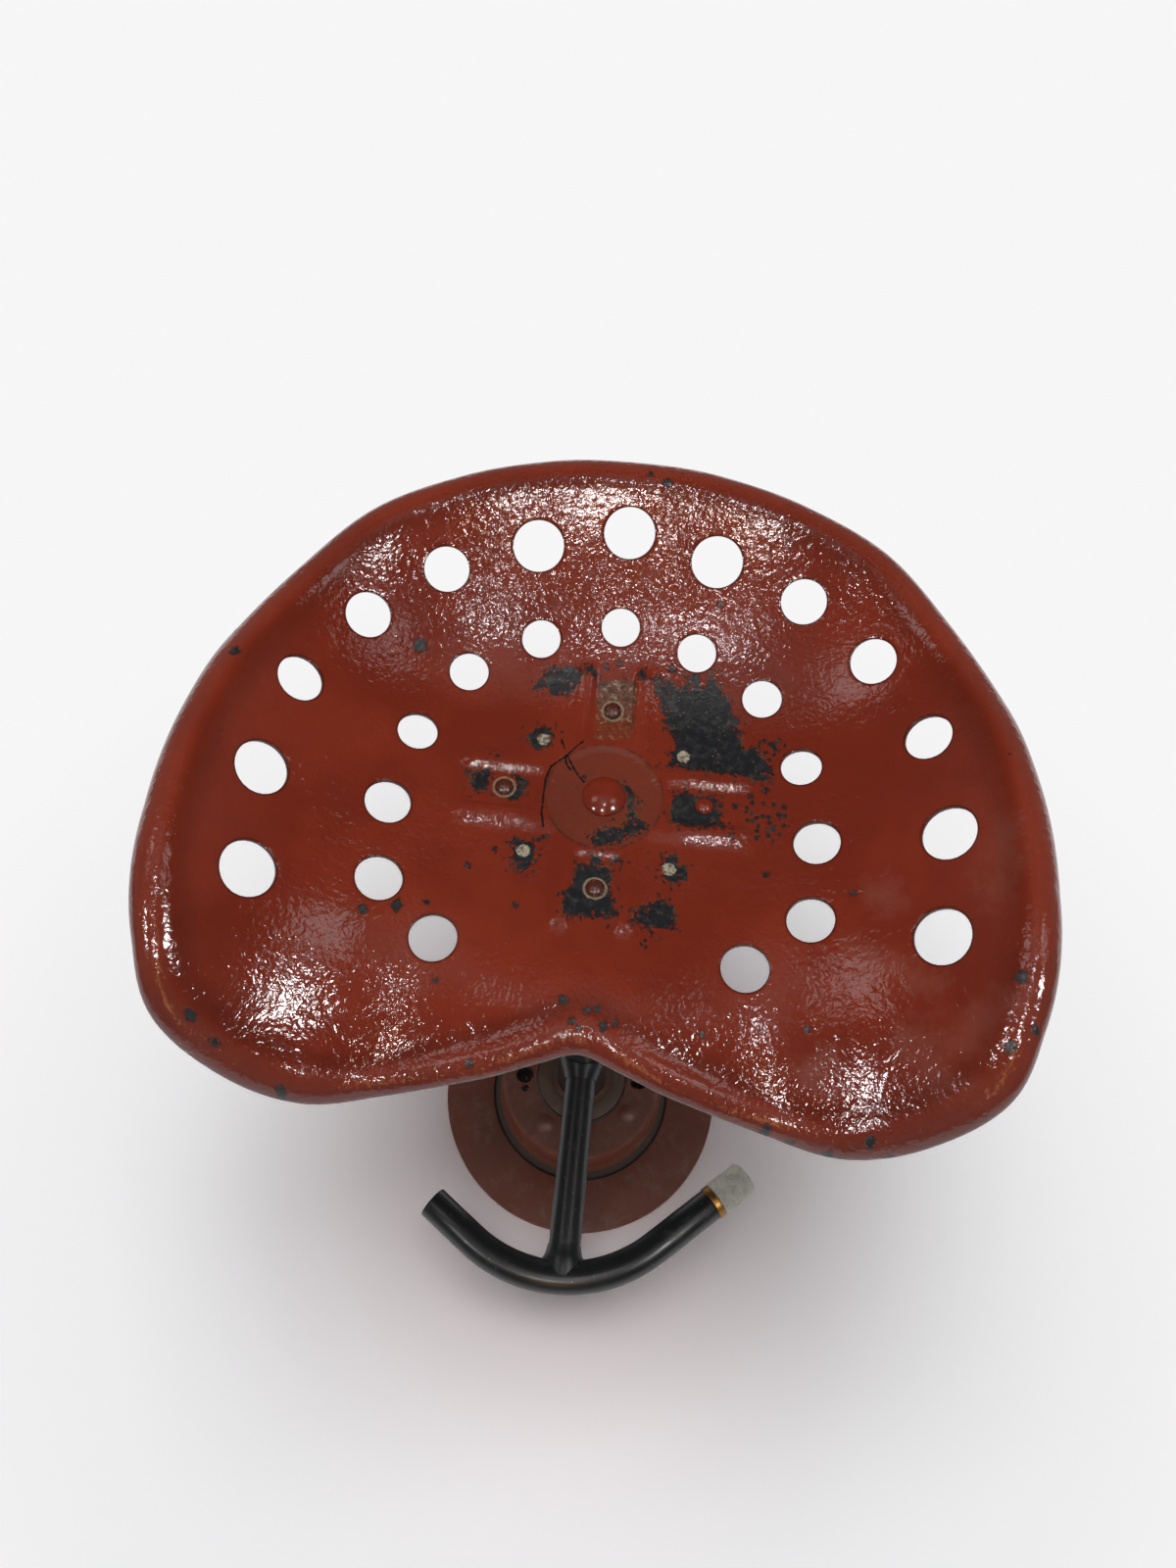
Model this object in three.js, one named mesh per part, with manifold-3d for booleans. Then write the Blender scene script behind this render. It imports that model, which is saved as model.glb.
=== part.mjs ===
// A stool: a tractor's pressed steel seat on a pipe column with a T footrest, and a brake disc as its foot.
// Millimetres, +Z up, floor at Z = 0, the front of the seat towards -Y.
// The column, with the seat and the footrest, turns as one in the middle of the disc.

import * as THREE from "three";
import { mergeVertices } from "three/addons/utils/BufferGeometryUtils.js";
import Module from "manifold-3d";

// Fits
const seatGap = 0.3; // left between two pieces that seat on each other
const overrun = 3; // how far a cutting shape passes the face that it cuts
const weldTolerance = 0.0001; // vertices closer than this are one
const probeStep = 0.5; // step over which the sheet's slope is measured

// Facets
const discSides = 40;
const turnedSides = 28;
const tubeSides = 14;
const holeSides = 12;
const smallSides = 12;
const roundSteps = 2;
const barSteps = 16;

// Brake disc, standing on its friction ring with the hat upwards
const discRadius = 140;
const ringThickness = 12;
const ringBore = 82;
const discChamfer = 1;
const hatHeight = 66;
const hatRadius = 79;
const hatPlate = 8;
const hatWall = 8;
const hatRound = 4;
const hatDraft = 1;
const boreRadius = 45;
const flareRadius = 88.8; // bare turned band between the hat and the ring
const flareTop = 25;
const flareFoot = 14;
const flareInnerFoot = 6;
const grooveWidth = 2.5;
const grooveDepth = 2;

// Holes of the hat that stay open: four for the wheel and one for its locating screw
const lugCount = 4;
const lugCircle = 57.5;
const lugRadius = 8.5;
const lugTurnDegrees = 2.4;
const locatorRadius = 3.5;
const locatorCircle = 58;
const locatorTurnDegrees = -164;

// Cup-head bolts that hold the swivel housing under the hat
const hubBoltCount = 4;
const hubBoltCircle = 59;
const hubBoltTurnDegrees = -32.5;
const hubBoltRadius = 4;
const hubBoltHeadRadius = 9.5;
const hubBoltHeadHeight = 4.5;
const hubBoltTail = 1.5; // thread that shows past the nut
const hubNutAcross = 13;
const hubNutHeight = 6.5;
const hubWasherRadius = 8;
const hubWasherThickness = 1.6;
const boltClearance = 0.5;

// Swivel housing: a barrel with a flange and four ears
const flangeRadius = 46;
const flangeThickness = 8;
const earRadius = 11;
const barrelRadius = 33;
const housingLength = 38;

// Bronze bushes, one at each end of the barrel
const bushRadius = 25;
const bushLength = 16;
const bushFlangeRadius = 32;
const bushFlangeThickness = 3;

// Spindle, with its washer and nut under the lower bush
const spindleRadius = 20;
const spindlePlug = 40; // length that stands up inside the post
const threadRadius = 12;
const threadTail = 0.5;
const spindleChamfer = 1;
const keeperRadius = 30;
const keeperThickness = 3;
const spindleNutAcross = 36;
const spindleNutHeight = 8;

// Bare ring that fills the disc's bore and carries the post
const hubRingRadius = 43.4;
const hubRingThickness = 6;
const hubRingChamfer = 0.8;

// Post: steel pipe
const postRadius = 24.15;
const postWall = 3.2;
const weldLeg = 6;
const weldCrownShare = 0.62; // how full a fillet weld is, as a share of its leg

// Plates between the post and the seat
const headPlateWidth = 90;
const headPlateCorner = 8;
const headPlateThickness = 6;
const backPlateWidth = 130;
const backPlateCorner = 12;
const backPlateThickness = 4;

// Seat bolt: cup head on top, nut welded under the head plate inside the post
const seatBoltRadius = 5;
const seatBoltHeadRadius = 12;
const seatBoltHeadHeight = 5;
const seatBoltTail = 2;
const seatNutAcross = 17;
const seatNutHeight = 8;

// Rivets between the seat and its back plate, one in each arm of the cross
const rivetCount = 4;
const rivetCircle = 55;
const rivetRadius = 3;
const rivetHeadRadius = 5.1;
const rivetHeadHeight = 2.8;
const rivetTailRadius = 4.8;
const rivetTailHeight = 2.4;
const rivetClearance = 0.4;

// Seat pan
const seatHeight = 670; // top of the sheet under the bolt's head
const sheetThickness = 2.5;
const seatHalfWidth = 218;
const outlineTurns = [-90, -82.5, -75, -67.5, -60, -52.5, -45, -37.5, -30, -15, 0, 15, 30, 45, 60, 75, 90];
const outlineReachShares = [
  0.65, 0.683, 0.736, 0.799, 0.889, 1.016, 1.105, 1.155, 1.122,
  1.045, 1, 0.984, 0.972, 0.967, 0.931, 0.894, 0.877,
];
const sideFlat = 40; // half width of the level middle
const sideRun = 167; // from there to where the full rise is reached
const sideRise = 75;
const sidePower = 2.6;
const rearFlat = 45;
const rearRun = 130;
const rearRise = 70;
const rearPower = 1.7;
const frontFlat = 55;
const frontRun = 115;
const frontDrop = 28;
const frontBowShare = 0.37; // how much the front swells before it falls
const pommelHeight = 12; // low ridge in the middle of the front, between the two lobes
const pommelHalfWidth = 110;
const pommelStart = 60;
const pommelRun = 75;

// Rim: the sheet levels out to a crest and rolls over outwards, all the way round
const rimLevelling = 10.5;
const rimRollRadius = 15;
const rimRollDegrees = 75;

// Cross pressed up in the middle, with a channel along each arm that runs out at its end, and a shallow
// round pocket in the centre
const crossHeight = 3;
const crossReach = 84;
const crossHalfWidth = 27;
const crossSlope = 11;
const channelStart = 33;
const channelHalfWidth = 14;
const channelSlope = 4;
const middlePocketRadius = 32;
const middlePocketShare = 0.4; // its depth, as a share of the cross's full height
const crossGrowth = 22; // from the middle pocket's edge to where the cross has its full height

// Rows of the sheet's facets: the inner ones follow the cross and its channels
const wellRadius = 90;
const wellRadii = [
  middlePocketRadius - channelSlope,
  channelStart,
  channelStart + channelSlope,
  (channelStart + rivetCircle) / 2,
  rivetCircle,
  (rivetCircle + crossReach - crossSlope) / 2,
  crossReach - crossSlope,
  crossReach,
  wellRadius,
];
const wallRows = 4;
const levellingRowShares = [0.5, 1];
const rollRowShares = [0.35, 0.65, 1];
const panSides = 44;

// Pierced holes: angle and reach on the right half, the reach as a share of the half width
const wideHoleRadius = 14.3;
const rearHoleRadius = 14.6;
const outerHoleRadius = 12.8;
const frontHoleRadius = 12.2;
const innerHoleRadius = 11;
const holeRows = [
  { radius: wideHoleRadius, turns: [-25, -8], reachShares: [0.855, 0.807] },
  { radius: outerHoleRadius, turns: [11.5, 31, 49.5], reachShares: [0.787, 0.76, 0.725] },
  { radius: rearHoleRadius, turns: [69.5, 90], reachShares: [0.676, 0.677] },
  { radius: frontHoleRadius, turns: [-49, -30, -10], reachShares: [0.556, 0.59, 0.534] },
  { radius: innerHoleRadius, turns: [14, 39.5, 64, 90], reachShares: [0.504, 0.5, 0.472, 0.469] },
];

// Footrest: a stem square to the post and a bent bar across its end
const footrestHeight = 195;
const footrestReach = 200; // from the post's axis to the middle of the bar
const footTubeRadius = 13.45;
const footTubeWall = 2.6;
const barBendRadius = 125;
const barBendDegrees = 38; // to each side
const barLeftArm = 46;
const barRightArm = 60;
const barTurnDegrees = 3; // the bar sits a little askew on its stem
const jointWeldReach = 12;
const jointWeldHeight = 7;
const jointWeldToe = 0.8;

// Brass ferrule and the cap on the bar's right end
const ferruleRadius = 14.2;
const ferruleLength = 6;
const ferruleSpigot = 14;
const ferruleStubRadius = 8;
const ferruleStub = 12;
const capRadius = 14.8;
const capLength = 33;
const capRound = 3;
const plugGap = 0.45; // slack of the ferrule in the tube and of the cap on the ferrule

// Levels and places that follow from the sizes above
const hatUnder = hatHeight - hatPlate;
const flangeTop = hatUnder - seatGap;
const flangeUnder = flangeTop - flangeThickness;
const barrelFoot = flangeTop - housingLength;
const bushTop = flangeTop + seatGap + bushFlangeThickness;
const bushFoot = barrelFoot - seatGap - bushFlangeThickness;
const keeperTop = bushFoot - seatGap;
const spindleNutTop = keeperTop - keeperThickness - seatGap;
const threadFoot = spindleNutTop - spindleNutHeight - threadTail;
const hubRingFoot = bushTop + seatGap;
const hubRingTop = hubRingFoot + hubRingThickness;
const postFoot = hubRingTop + seatGap;
const postBore = postRadius - postWall;
const backPlateTop = seatHeight - sheetThickness - seatGap;
const headPlateTop = backPlateTop - backPlateThickness - seatGap;
const headPlateFoot = headPlateTop - headPlateThickness;
const postTop = headPlateFoot - seatGap;
const rollTurn = THREE.MathUtils.degToRad(rimRollDegrees);
const rimWidth = rimLevelling + rimRollRadius * Math.sin(rollTurn);
const seatRear = seatHalfWidth * outlineReachShares[outlineReachShares.length - 1];
const footrestFront = footrestReach + footTubeRadius;
const columnBack = (footrestFront - seatRear) / 2; // puts the origin under the middle of the whole outline

const paintRed = { color: 0x8e3322, roughness: 0.32, metalness: 0.1 };
const paintBlack = { color: 0x23282b, roughness: 0.35, metalness: 0.2 };
const oxidePaint = { color: 0x7a4a40, roughness: 0.75, metalness: 0.1 };
const bareSteel = { color: 0x9c8f80, roughness: 0.55, metalness: 0.7 };
const zincSteel = { color: 0x9a9ca0, roughness: 0.4, metalness: 0.8 };
const bronze = { color: 0xa8763e, roughness: 0.4, metalness: 0.9 };
const brass = { color: 0xb07a35, roughness: 0.3, metalness: 0.9 };
const rustySteel = { color: 0x6b4436, roughness: 0.7, metalness: 0.3 };
const wornPlastic = { color: 0xc9c6b4, roughness: 0.6, metalness: 0 };

const wasm = await Module();
wasm.setup();

const radians = THREE.MathUtils.degToRad;

// One vertex per place, and no triangle that has shrunk to a line
function welded(geometry) {
  const bare = new THREE.BufferGeometry();
  bare.setAttribute("position", geometry.getAttribute("position"));
  bare.setIndex(geometry.getIndex());
  const merged = mergeVertices(bare, weldTolerance);
  const corners = merged.getIndex().array;
  const kept = [];
  for (let i = 0; i < corners.length; i += 3) {
    const [a, b, c] = corners.slice(i, i + 3);
    if (a !== b && b !== c && c !== a) {
      kept.push(a, b, c);
    }
  }
  merged.setIndex(kept);
  return merged;
}

function toSolid(geometry) {
  const mesh = welded(geometry);
  return new wasm.Manifold(
    new wasm.Mesh({
      numProp: 3,
      vertProperties: Float32Array.from(mesh.getAttribute("position").array),
      triVerts: Uint32Array.from(mesh.getIndex().array),
    }),
  );
}

function toGeometry(solid) {
  const mesh = solid.getMesh();
  const geometry = new THREE.BufferGeometry();
  geometry.setAttribute("position", new THREE.BufferAttribute(mesh.vertProperties, 3));
  geometry.setIndex(new THREE.BufferAttribute(mesh.triVerts, 1));
  return geometry;
}

function cut(body, tools) {
  return toGeometry(tools.reduce((solid, tool) => solid.subtract(toSolid(tool)), toSolid(body)));
}

function piece(name, geometry, look) {
  const mesh = new THREE.Mesh(welded(geometry), new THREE.MeshStandardMaterial(look));
  mesh.name = name;
  return mesh;
}

// A profile of [radius, height] pairs, listed with the metal on its left, turned about Z
function turned(profile, sides = turnedSides) {
  const points = profile.map(([radius, height]) => new THREE.Vector2(radius, height));
  return new THREE.LatheGeometry(points, sides).rotateX(Math.PI / 2);
}

// The same with the profile closed on itself, for a piece with a bore
function turnedRing(profile, sides = turnedSides) {
  return turned([...profile, profile[0]], sides);
}

function ring(inner, outer, foot, top, sides = turnedSides) {
  return turnedRing([[inner, foot], [outer, foot], [outer, top], [inner, top]], sides);
}

function rod(radius, foot, top, sides = smallSides) {
  return turned([[0, foot], [radius, foot], [radius, top], [0, top]], sides);
}

// Profile of a low dome: from the rim at its foot to the axis at its crown
function domeProfile(radius, height, foot) {
  const sphere = (radius * radius + height * height) / (2 * height);
  const points = [];
  for (let i = 0; i <= roundSteps; i += 1) {
    const lean = Math.asin(radius / sphere) * (1 - i / roundSteps);
    points.push([sphere * Math.sin(lean), foot + height - sphere * (1 - Math.cos(lean))]);
  }
  return points;
}

// Cup head standing on height 0, with its shank below
function cupBolt(headRadius, headHeight, shankRadius, shankLength) {
  return turned(
    [
      [0, -shankLength],
      [shankRadius, -shankLength],
      [shankRadius, 0],
      ...domeProfile(headRadius, headHeight, 0),
    ],
    smallSides,
  );
}

// Hexagon nut with its foot at height 0
function hexNut(across, height, boreOfNut, boreSides = smallSides) {
  const cornerRadius = across / Math.sqrt(3);
  const shape = new THREE.Shape();
  for (let i = 0; i < 6; i += 1) {
    const turn = (i * Math.PI) / 3;
    const corner = [cornerRadius * Math.cos(turn), cornerRadius * Math.sin(turn)];
    if (i === 0) {
      shape.moveTo(...corner);
    } else {
      shape.lineTo(...corner);
    }
  }
  shape.closePath();
  shape.holes.push(new THREE.Path().absarc(0, 0, boreOfNut, 0, 2 * Math.PI, true));
  return new THREE.ExtrudeGeometry(shape, {
    depth: height,
    bevelEnabled: false,
    curveSegments: boreSides / 2,
  });
}

// Square plate with round corners and round holes, its foot at height 0
function squarePlate(side, corner, thickness, holes) {
  const half = side / 2;
  const shape = new THREE.Shape();
  shape.moveTo(-half + corner, -half);
  shape.lineTo(half - corner, -half);
  shape.absarc(half - corner, -half + corner, corner, -Math.PI / 2, 0);
  shape.lineTo(half, half - corner);
  shape.absarc(half - corner, half - corner, corner, 0, Math.PI / 2);
  shape.lineTo(-half + corner, half);
  shape.absarc(-half + corner, half - corner, corner, Math.PI / 2, Math.PI);
  shape.lineTo(-half, -half + corner);
  shape.absarc(-half + corner, -half + corner, corner, Math.PI, 1.5 * Math.PI);
  for (const hole of holes) {
    shape.holes.push(new THREE.Path().absarc(hole.x, hole.y, hole.radius, 0, 2 * Math.PI, true));
  }
  return new THREE.ExtrudeGeometry(shape, {
    depth: thickness,
    bevelEnabled: false,
    curveSegments: smallSides / 2,
  });
}

function placesOnCircle(count, circle, firstDegrees) {
  return Array.from({ length: count }, (_, i) => {
    const turn = radians(firstDegrees + (360 * i) / count);
    return new THREE.Vector3(circle * Math.cos(turn), circle * Math.sin(turn), 0);
  });
}

const hubBoltPlaces = placesOnCircle(hubBoltCount, hubBoltCircle, hubBoltTurnDegrees);
const rivetPlaces = placesOnCircle(rivetCount, rivetCircle, 0);

// Base

function hatEdge() {
  const points = [];
  for (let i = 0; i <= roundSteps; i += 1) {
    const turn = (i / roundSteps) * (Math.PI / 2);
    points.push([
      hatRadius - hatRound + hatRound * Math.cos(turn),
      hatHeight - hatRound + hatRound * Math.sin(turn),
    ]);
  }
  return points;
}

function brakeDisc() {
  const body = turnedRing([
    [ringBore, 0],
    [discRadius - discChamfer, 0],
    [discRadius, discChamfer],
    [discRadius, ringThickness - discChamfer],
    [discRadius - discChamfer, ringThickness],
    [flareRadius + grooveWidth, ringThickness],
    [flareRadius + grooveWidth, ringThickness - grooveDepth],
    [flareRadius, ringThickness - grooveDepth],
    [flareRadius, flareFoot],
    [hatRadius + hatDraft, flareTop],
    ...hatEdge(),
    [boreRadius, hatHeight],
    [boreRadius, hatUnder],
    [hatRadius - hatWall, hatUnder],
    [hatRadius - hatWall, flareTop],
    [ringBore, flareInnerFoot],
  ], discSides);
  const holeFoot = hatUnder - overrun;
  const holeTop = hatHeight + overrun;
  const lugs = placesOnCircle(lugCount, lugCircle, lugTurnDegrees);
  const locator = placesOnCircle(1, locatorCircle, locatorTurnDegrees);
  const tools = [
    ...lugs.map((at) => rod(lugRadius, holeFoot, holeTop, holeSides).translate(at.x, at.y, 0)),
    ...locator.map((at) => rod(locatorRadius, holeFoot, holeTop).translate(at.x, at.y, 0)),
    ...hubBoltPlaces.map((at) => {
      return rod(hubBoltRadius + boltClearance, holeFoot, holeTop).translate(at.x, at.y, 0);
    }),
  ];
  return cut(body, tools);
}

// An ear reaches from the barrel to a bolt, with a round end
function housingEar(turn) {
  const shape = new THREE.Shape();
  shape.moveTo(bushRadius + earRadius, -earRadius);
  shape.lineTo(hubBoltCircle, -earRadius);
  shape.absarc(hubBoltCircle, 0, earRadius, -Math.PI / 2, Math.PI / 2);
  shape.lineTo(bushRadius + earRadius, earRadius);
  shape.closePath();
  const ear = new THREE.ExtrudeGeometry(shape, {
    depth: flangeThickness,
    bevelEnabled: false,
    curveSegments: smallSides / 2,
  });
  return ear.rotateZ(turn).translate(0, 0, flangeUnder);
}

function swivelHousing() {
  const inner = bushRadius + seatGap;
  const barrel = turnedRing([
    [inner, barrelFoot],
    [barrelRadius, barrelFoot],
    [barrelRadius, flangeUnder],
    [flangeRadius, flangeUnder],
    [flangeRadius, flangeTop],
    [inner, flangeTop],
  ]);
  let solid = toSolid(barrel);
  for (const at of hubBoltPlaces) {
    solid = solid.add(toSolid(housingEar(Math.atan2(at.y, at.x))));
  }
  for (const at of hubBoltPlaces) {
    const hole = rod(hubBoltRadius + boltClearance, flangeUnder - overrun, flangeTop + overrun);
    solid = solid.subtract(toSolid(hole.translate(at.x, at.y, 0)));
  }
  return toGeometry(solid);
}

function upperBush() {
  const bore = spindleRadius + seatGap;
  const flangeFoot = bushTop - bushFlangeThickness;
  return turnedRing([
    [bore, flangeTop - bushLength],
    [bushRadius, flangeTop - bushLength],
    [bushRadius, flangeFoot],
    [bushFlangeRadius, flangeFoot],
    [bushFlangeRadius, bushTop],
    [bore, bushTop],
  ]);
}

function lowerBush() {
  const bore = spindleRadius + seatGap;
  const flangeUp = bushFoot + bushFlangeThickness;
  return turnedRing([
    [bore, bushFoot],
    [bushFlangeRadius, bushFoot],
    [bushFlangeRadius, flangeUp],
    [bushRadius, flangeUp],
    [bushRadius, barrelFoot + bushLength],
    [bore, barrelFoot + bushLength],
  ]);
}

function addHubBolts(base) {
  const washerTop = flangeUnder - seatGap;
  const nutTop = washerTop - hubWasherThickness - seatGap;
  const nutFoot = nutTop - hubNutHeight;
  const headFoot = hatHeight + seatGap;
  const shank = headFoot - nutFoot + hubBoltTail;
  hubBoltPlaces.forEach((at, i) => {
    const number = i + 1;
    const bolt = cupBolt(hubBoltHeadRadius, hubBoltHeadHeight, hubBoltRadius, shank);
    const washer = ring(
      hubBoltRadius + seatGap,
      hubWasherRadius,
      washerTop - hubWasherThickness,
      washerTop,
      smallSides,
    );
    const nut = hexNut(hubNutAcross, hubNutHeight, hubBoltRadius + seatGap);
    const group = new THREE.Group();
    group.position.copy(at);
    group.add(piece(`hub_bolt_${number}`, bolt.translate(0, 0, headFoot), oxidePaint));
    group.add(piece(`hub_washer_${number}`, washer, zincSteel));
    group.add(piece(`hub_nut_${number}`, nut.translate(0, 0, nutFoot), zincSteel));
    base.add(group);
  });
}

// Column

function spindle() {
  const shoulder = keeperTop + seatGap;
  return turned([
    [0, threadFoot],
    [threadRadius - spindleChamfer, threadFoot],
    [threadRadius, threadFoot + spindleChamfer],
    [threadRadius, shoulder],
    [spindleRadius, shoulder],
    [spindleRadius, hubRingTop + spindlePlug - spindleChamfer],
    [spindleRadius - spindleChamfer, hubRingTop + spindlePlug],
    [0, hubRingTop + spindlePlug],
  ]);
}

function hubRing() {
  return turnedRing([
    [spindleRadius + seatGap, hubRingFoot],
    [hubRingRadius, hubRingFoot],
    [hubRingRadius, hubRingTop - hubRingChamfer],
    [hubRingRadius - hubRingChamfer, hubRingTop],
    [spindleRadius + seatGap, hubRingTop],
  ], discSides);
}

// Fillet weld round the post: it stands on height 0, or hangs from it when side is -1
function postWeld(side) {
  const inner = postRadius + seatGap;
  const crown = weldLeg * weldCrownShare;
  const profile = [
    [inner, 0],
    [inner + weldLeg, 0],
    [inner + crown, side * crown],
    [inner, side * weldLeg],
  ];
  return turnedRing(side > 0 ? profile : profile.reverse());
}

// Lengthwise position on the bar's middle line, measured from where the stem meets it
class BarLine extends THREE.Curve {
  getPoint(t, target = new THREE.Vector3()) {
    const bend = radians(barBendDegrees);
    const halfArc = barBendRadius * bend;
    const along = THREE.MathUtils.lerp(-halfArc - barLeftArm, halfArc + barRightArm, t);
    const turn = THREE.MathUtils.clamp(along / barBendRadius, -bend, bend);
    const past = along - turn * barBendRadius;
    return target.set(
      barBendRadius * Math.sin(turn) + past * Math.cos(turn),
      barBendRadius * (1 - Math.cos(turn)) + past * Math.sin(turn),
      0,
    );
  }
}

function alongBar(shape) {
  return new THREE.ExtrudeGeometry(shape, {
    steps: barSteps,
    extrudePath: new BarLine(),
    curveSegments: tubeSides / 2,
  });
}

function footrestBar() {
  const shape = new THREE.Shape().absarc(0, 0, footTubeRadius, 0, 2 * Math.PI);
  shape.holes.push(new THREE.Path().absarc(0, 0, footTubeRadius - footTubeWall, 0, 2 * Math.PI, true));
  return alongBar(shape);
}

// The bar's outside and a seat's gap round it, where it stands on the column, to cut what meets it
function barCutter() {
  const shape = new THREE.Shape().absarc(0, 0, footTubeRadius + seatGap, 0, 2 * Math.PI);
  return alongBar(shape).rotateZ(radians(barTurnDegrees)).translate(0, -footrestReach, 0);
}

function postCutter() {
  return rod(postRadius + seatGap, -postTop / 2, postTop / 2, turnedSides);
}

// A turned shape whose axis lies along -Y, its height 0 on the post's axis
function alongStem(geometry) {
  return geometry.rotateX(Math.PI / 2);
}

function footrestStem() {
  const tube = ring(footTubeRadius - footTubeWall, footTubeRadius, 0, footrestReach, tubeSides);
  return cut(alongStem(tube), [postCutter(), barCutter()]);
}

// Weld where the stem meets the post, swelling towards the post
function stemWeld() {
  const inner = footTubeRadius + seatGap;
  const collar = turnedRing(
    [
      [inner, postRadius - jointWeldReach],
      [inner + jointWeldHeight, postRadius - jointWeldReach],
      [inner + jointWeldHeight * weldCrownShare, postRadius],
      [inner + jointWeldToe, postRadius + jointWeldReach],
      [inner, postRadius + jointWeldReach],
    ],
    tubeSides,
  );
  return cut(alongStem(collar), [postCutter()]);
}

// Weld where the stem meets the bar, swelling towards the bar
function barWeld() {
  const inner = footTubeRadius + seatGap;
  const face = footrestReach - footTubeRadius;
  const collar = turnedRing(
    [
      [inner, face - jointWeldReach],
      [inner + jointWeldToe, face - jointWeldReach],
      [inner + jointWeldHeight * weldCrownShare, face - jointWeldToe],
      [inner + jointWeldToe, footrestReach - jointWeldToe],
      [inner, footrestReach - jointWeldToe],
    ],
    tubeSides,
  );
  return cut(alongStem(collar), [barCutter()]);
}

// Ferrule and cap are turned about the bar's end, with height 0 at the end of the tube
function ferrule() {
  const spigotRadius = footTubeRadius - footTubeWall - plugGap;
  return turned(
    [
      [0, -ferruleSpigot],
      [spigotRadius, -ferruleSpigot],
      [spigotRadius, seatGap],
      [ferruleRadius, seatGap],
      [ferruleRadius, seatGap + ferruleLength],
      [ferruleStubRadius, seatGap + ferruleLength],
      [ferruleStubRadius, seatGap + ferruleLength + ferruleStub],
      [0, seatGap + ferruleLength + ferruleStub],
    ],
    tubeSides,
  );
}

function endCap() {
  const foot = ferruleLength + 2 * seatGap;
  const socket = ferruleStubRadius + plugGap;
  const socketEnd = foot + ferruleStub + seatGap;
  return turned(
    [
      [0, socketEnd],
      [socket, socketEnd],
      [socket, foot],
      [capRadius, foot],
      [capRadius, foot + capLength - capRound],
      [capRadius - capRound, foot + capLength],
      [0, foot + capLength],
    ],
    tubeSides,
  );
}

function addFootrest(column) {
  const footrest = new THREE.Group();
  footrest.position.z = footrestHeight;
  footrest.add(piece("footrest_stem", footrestStem(), paintBlack));
  footrest.add(piece("stem_weld", stemWeld(), paintBlack));
  footrest.add(piece("bar_weld", barWeld(), paintBlack));

  const bar = new THREE.Group();
  bar.position.y = -footrestReach;
  bar.rotation.z = radians(barTurnDegrees);
  bar.add(piece("footrest_bar", footrestBar(), paintBlack));

  const end = new THREE.Group();
  end.position.copy(new BarLine().getPoint(1));
  end.rotation.z = radians(barBendDegrees);
  end.add(piece("ferrule", ferrule().rotateY(Math.PI / 2), brass));
  end.add(piece("end_cap", endCap().rotateY(Math.PI / 2), wornPlastic));
  bar.add(end);
  footrest.add(bar);
  column.add(footrest);
}

// Seat

function smooth(value) {
  return THREE.MathUtils.smoothstep(value, 0, 1);
}

// Reach of the outline at an angle, on a smooth curve through the listed angles, alike on both sides
function outlineReach(turn) {
  const folded = THREE.MathUtils.radToDeg(Math.asin(Math.sin(turn)));
  const last = outlineTurns.length - 1;
  const above = outlineTurns.findIndex((listed) => listed > folded);
  const i = above < 0 ? last - 1 : Math.max(above - 1, 0);
  const width = outlineTurns[i + 1] - outlineTurns[i];
  const t = (folded - outlineTurns[i]) / width;
  const slopeAt = (k) => {
    if (k === 0 || k === last) {
      return 0;
    }
    const rise = outlineReachShares[k + 1] - outlineReachShares[k - 1];
    return rise / (outlineTurns[k + 1] - outlineTurns[k - 1]);
  };
  const share =
    outlineReachShares[i] * (2 * t ** 3 - 3 * t ** 2 + 1) +
    outlineReachShares[i + 1] * (3 * t ** 2 - 2 * t ** 3) +
    slopeAt(i) * width * (t ** 3 - 2 * t ** 2 + t) +
    slopeAt(i + 1) * width * (t ** 3 - t ** 2);
  return seatHalfWidth * share;
}

// Height of the bowl over the level middle
function bowlHeight(x, y) {
  const side = Math.max(Math.abs(x) - sideFlat, 0) / sideRun;
  const rear = Math.max(y - rearFlat, 0) / rearRun;
  const front = Math.max(-y - frontFlat, 0) / frontRun;
  const fall = (1 + frontBowShare) * front ** 2 - frontBowShare * front;
  const across = Math.cos(Math.PI * Math.min(Math.abs(x) / pommelHalfWidth, 1));
  const pommel = pommelHeight * smooth((-y - pommelStart) / pommelRun) * ((1 + across) / 2);
  return sideRise * side ** sidePower + rearRise * rear ** rearPower - frontDrop * fall + pommel;
}

// Rise of the rim over the line where it leaves the bowl, which the bowl reaches with this slope
function rimRise(past, slope) {
  const levelled = Math.min(past, rimLevelling);
  const over = THREE.MathUtils.clamp(past - rimLevelling, 0, rimWidth - rimLevelling);
  const beyond = Math.max(past - rimWidth, 0);
  const fall = rimRollRadius - Math.sqrt(rimRollRadius ** 2 - over ** 2) + beyond * Math.tan(rollTurn);
  return slope * levelled * (1 - levelled / (2 * rimLevelling)) - fall;
}

function sheetPoint(turn, radius) {
  const fold = Math.min(radius, outlineReach(turn) - rimWidth);
  const bowlAt = (reach) => bowlHeight(reach * Math.cos(turn), reach * Math.sin(turn));
  const height = bowlAt(fold);
  const slope = (height - bowlAt(fold - probeStep)) / probeStep;
  const rise = rimRise(radius - fold, slope);
  return new THREE.Vector3(radius * Math.cos(turn), radius * Math.sin(turn), height + rise);
}

function sheetNormal(turn, radius) {
  const outward = sheetPoint(turn, radius).sub(sheetPoint(turn, radius - probeStep));
  const round = probeStep / Math.max(radius, probeStep);
  const along = sheetPoint(turn + round, radius).sub(sheetPoint(turn - round, radius));
  return outward.cross(along).normalize();
}

// 1 well inside a rounded bar of the cross and 0 outside it, falling over the slope
function within(distance, limit, slope) {
  return smooth((limit - distance) / slope);
}

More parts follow.
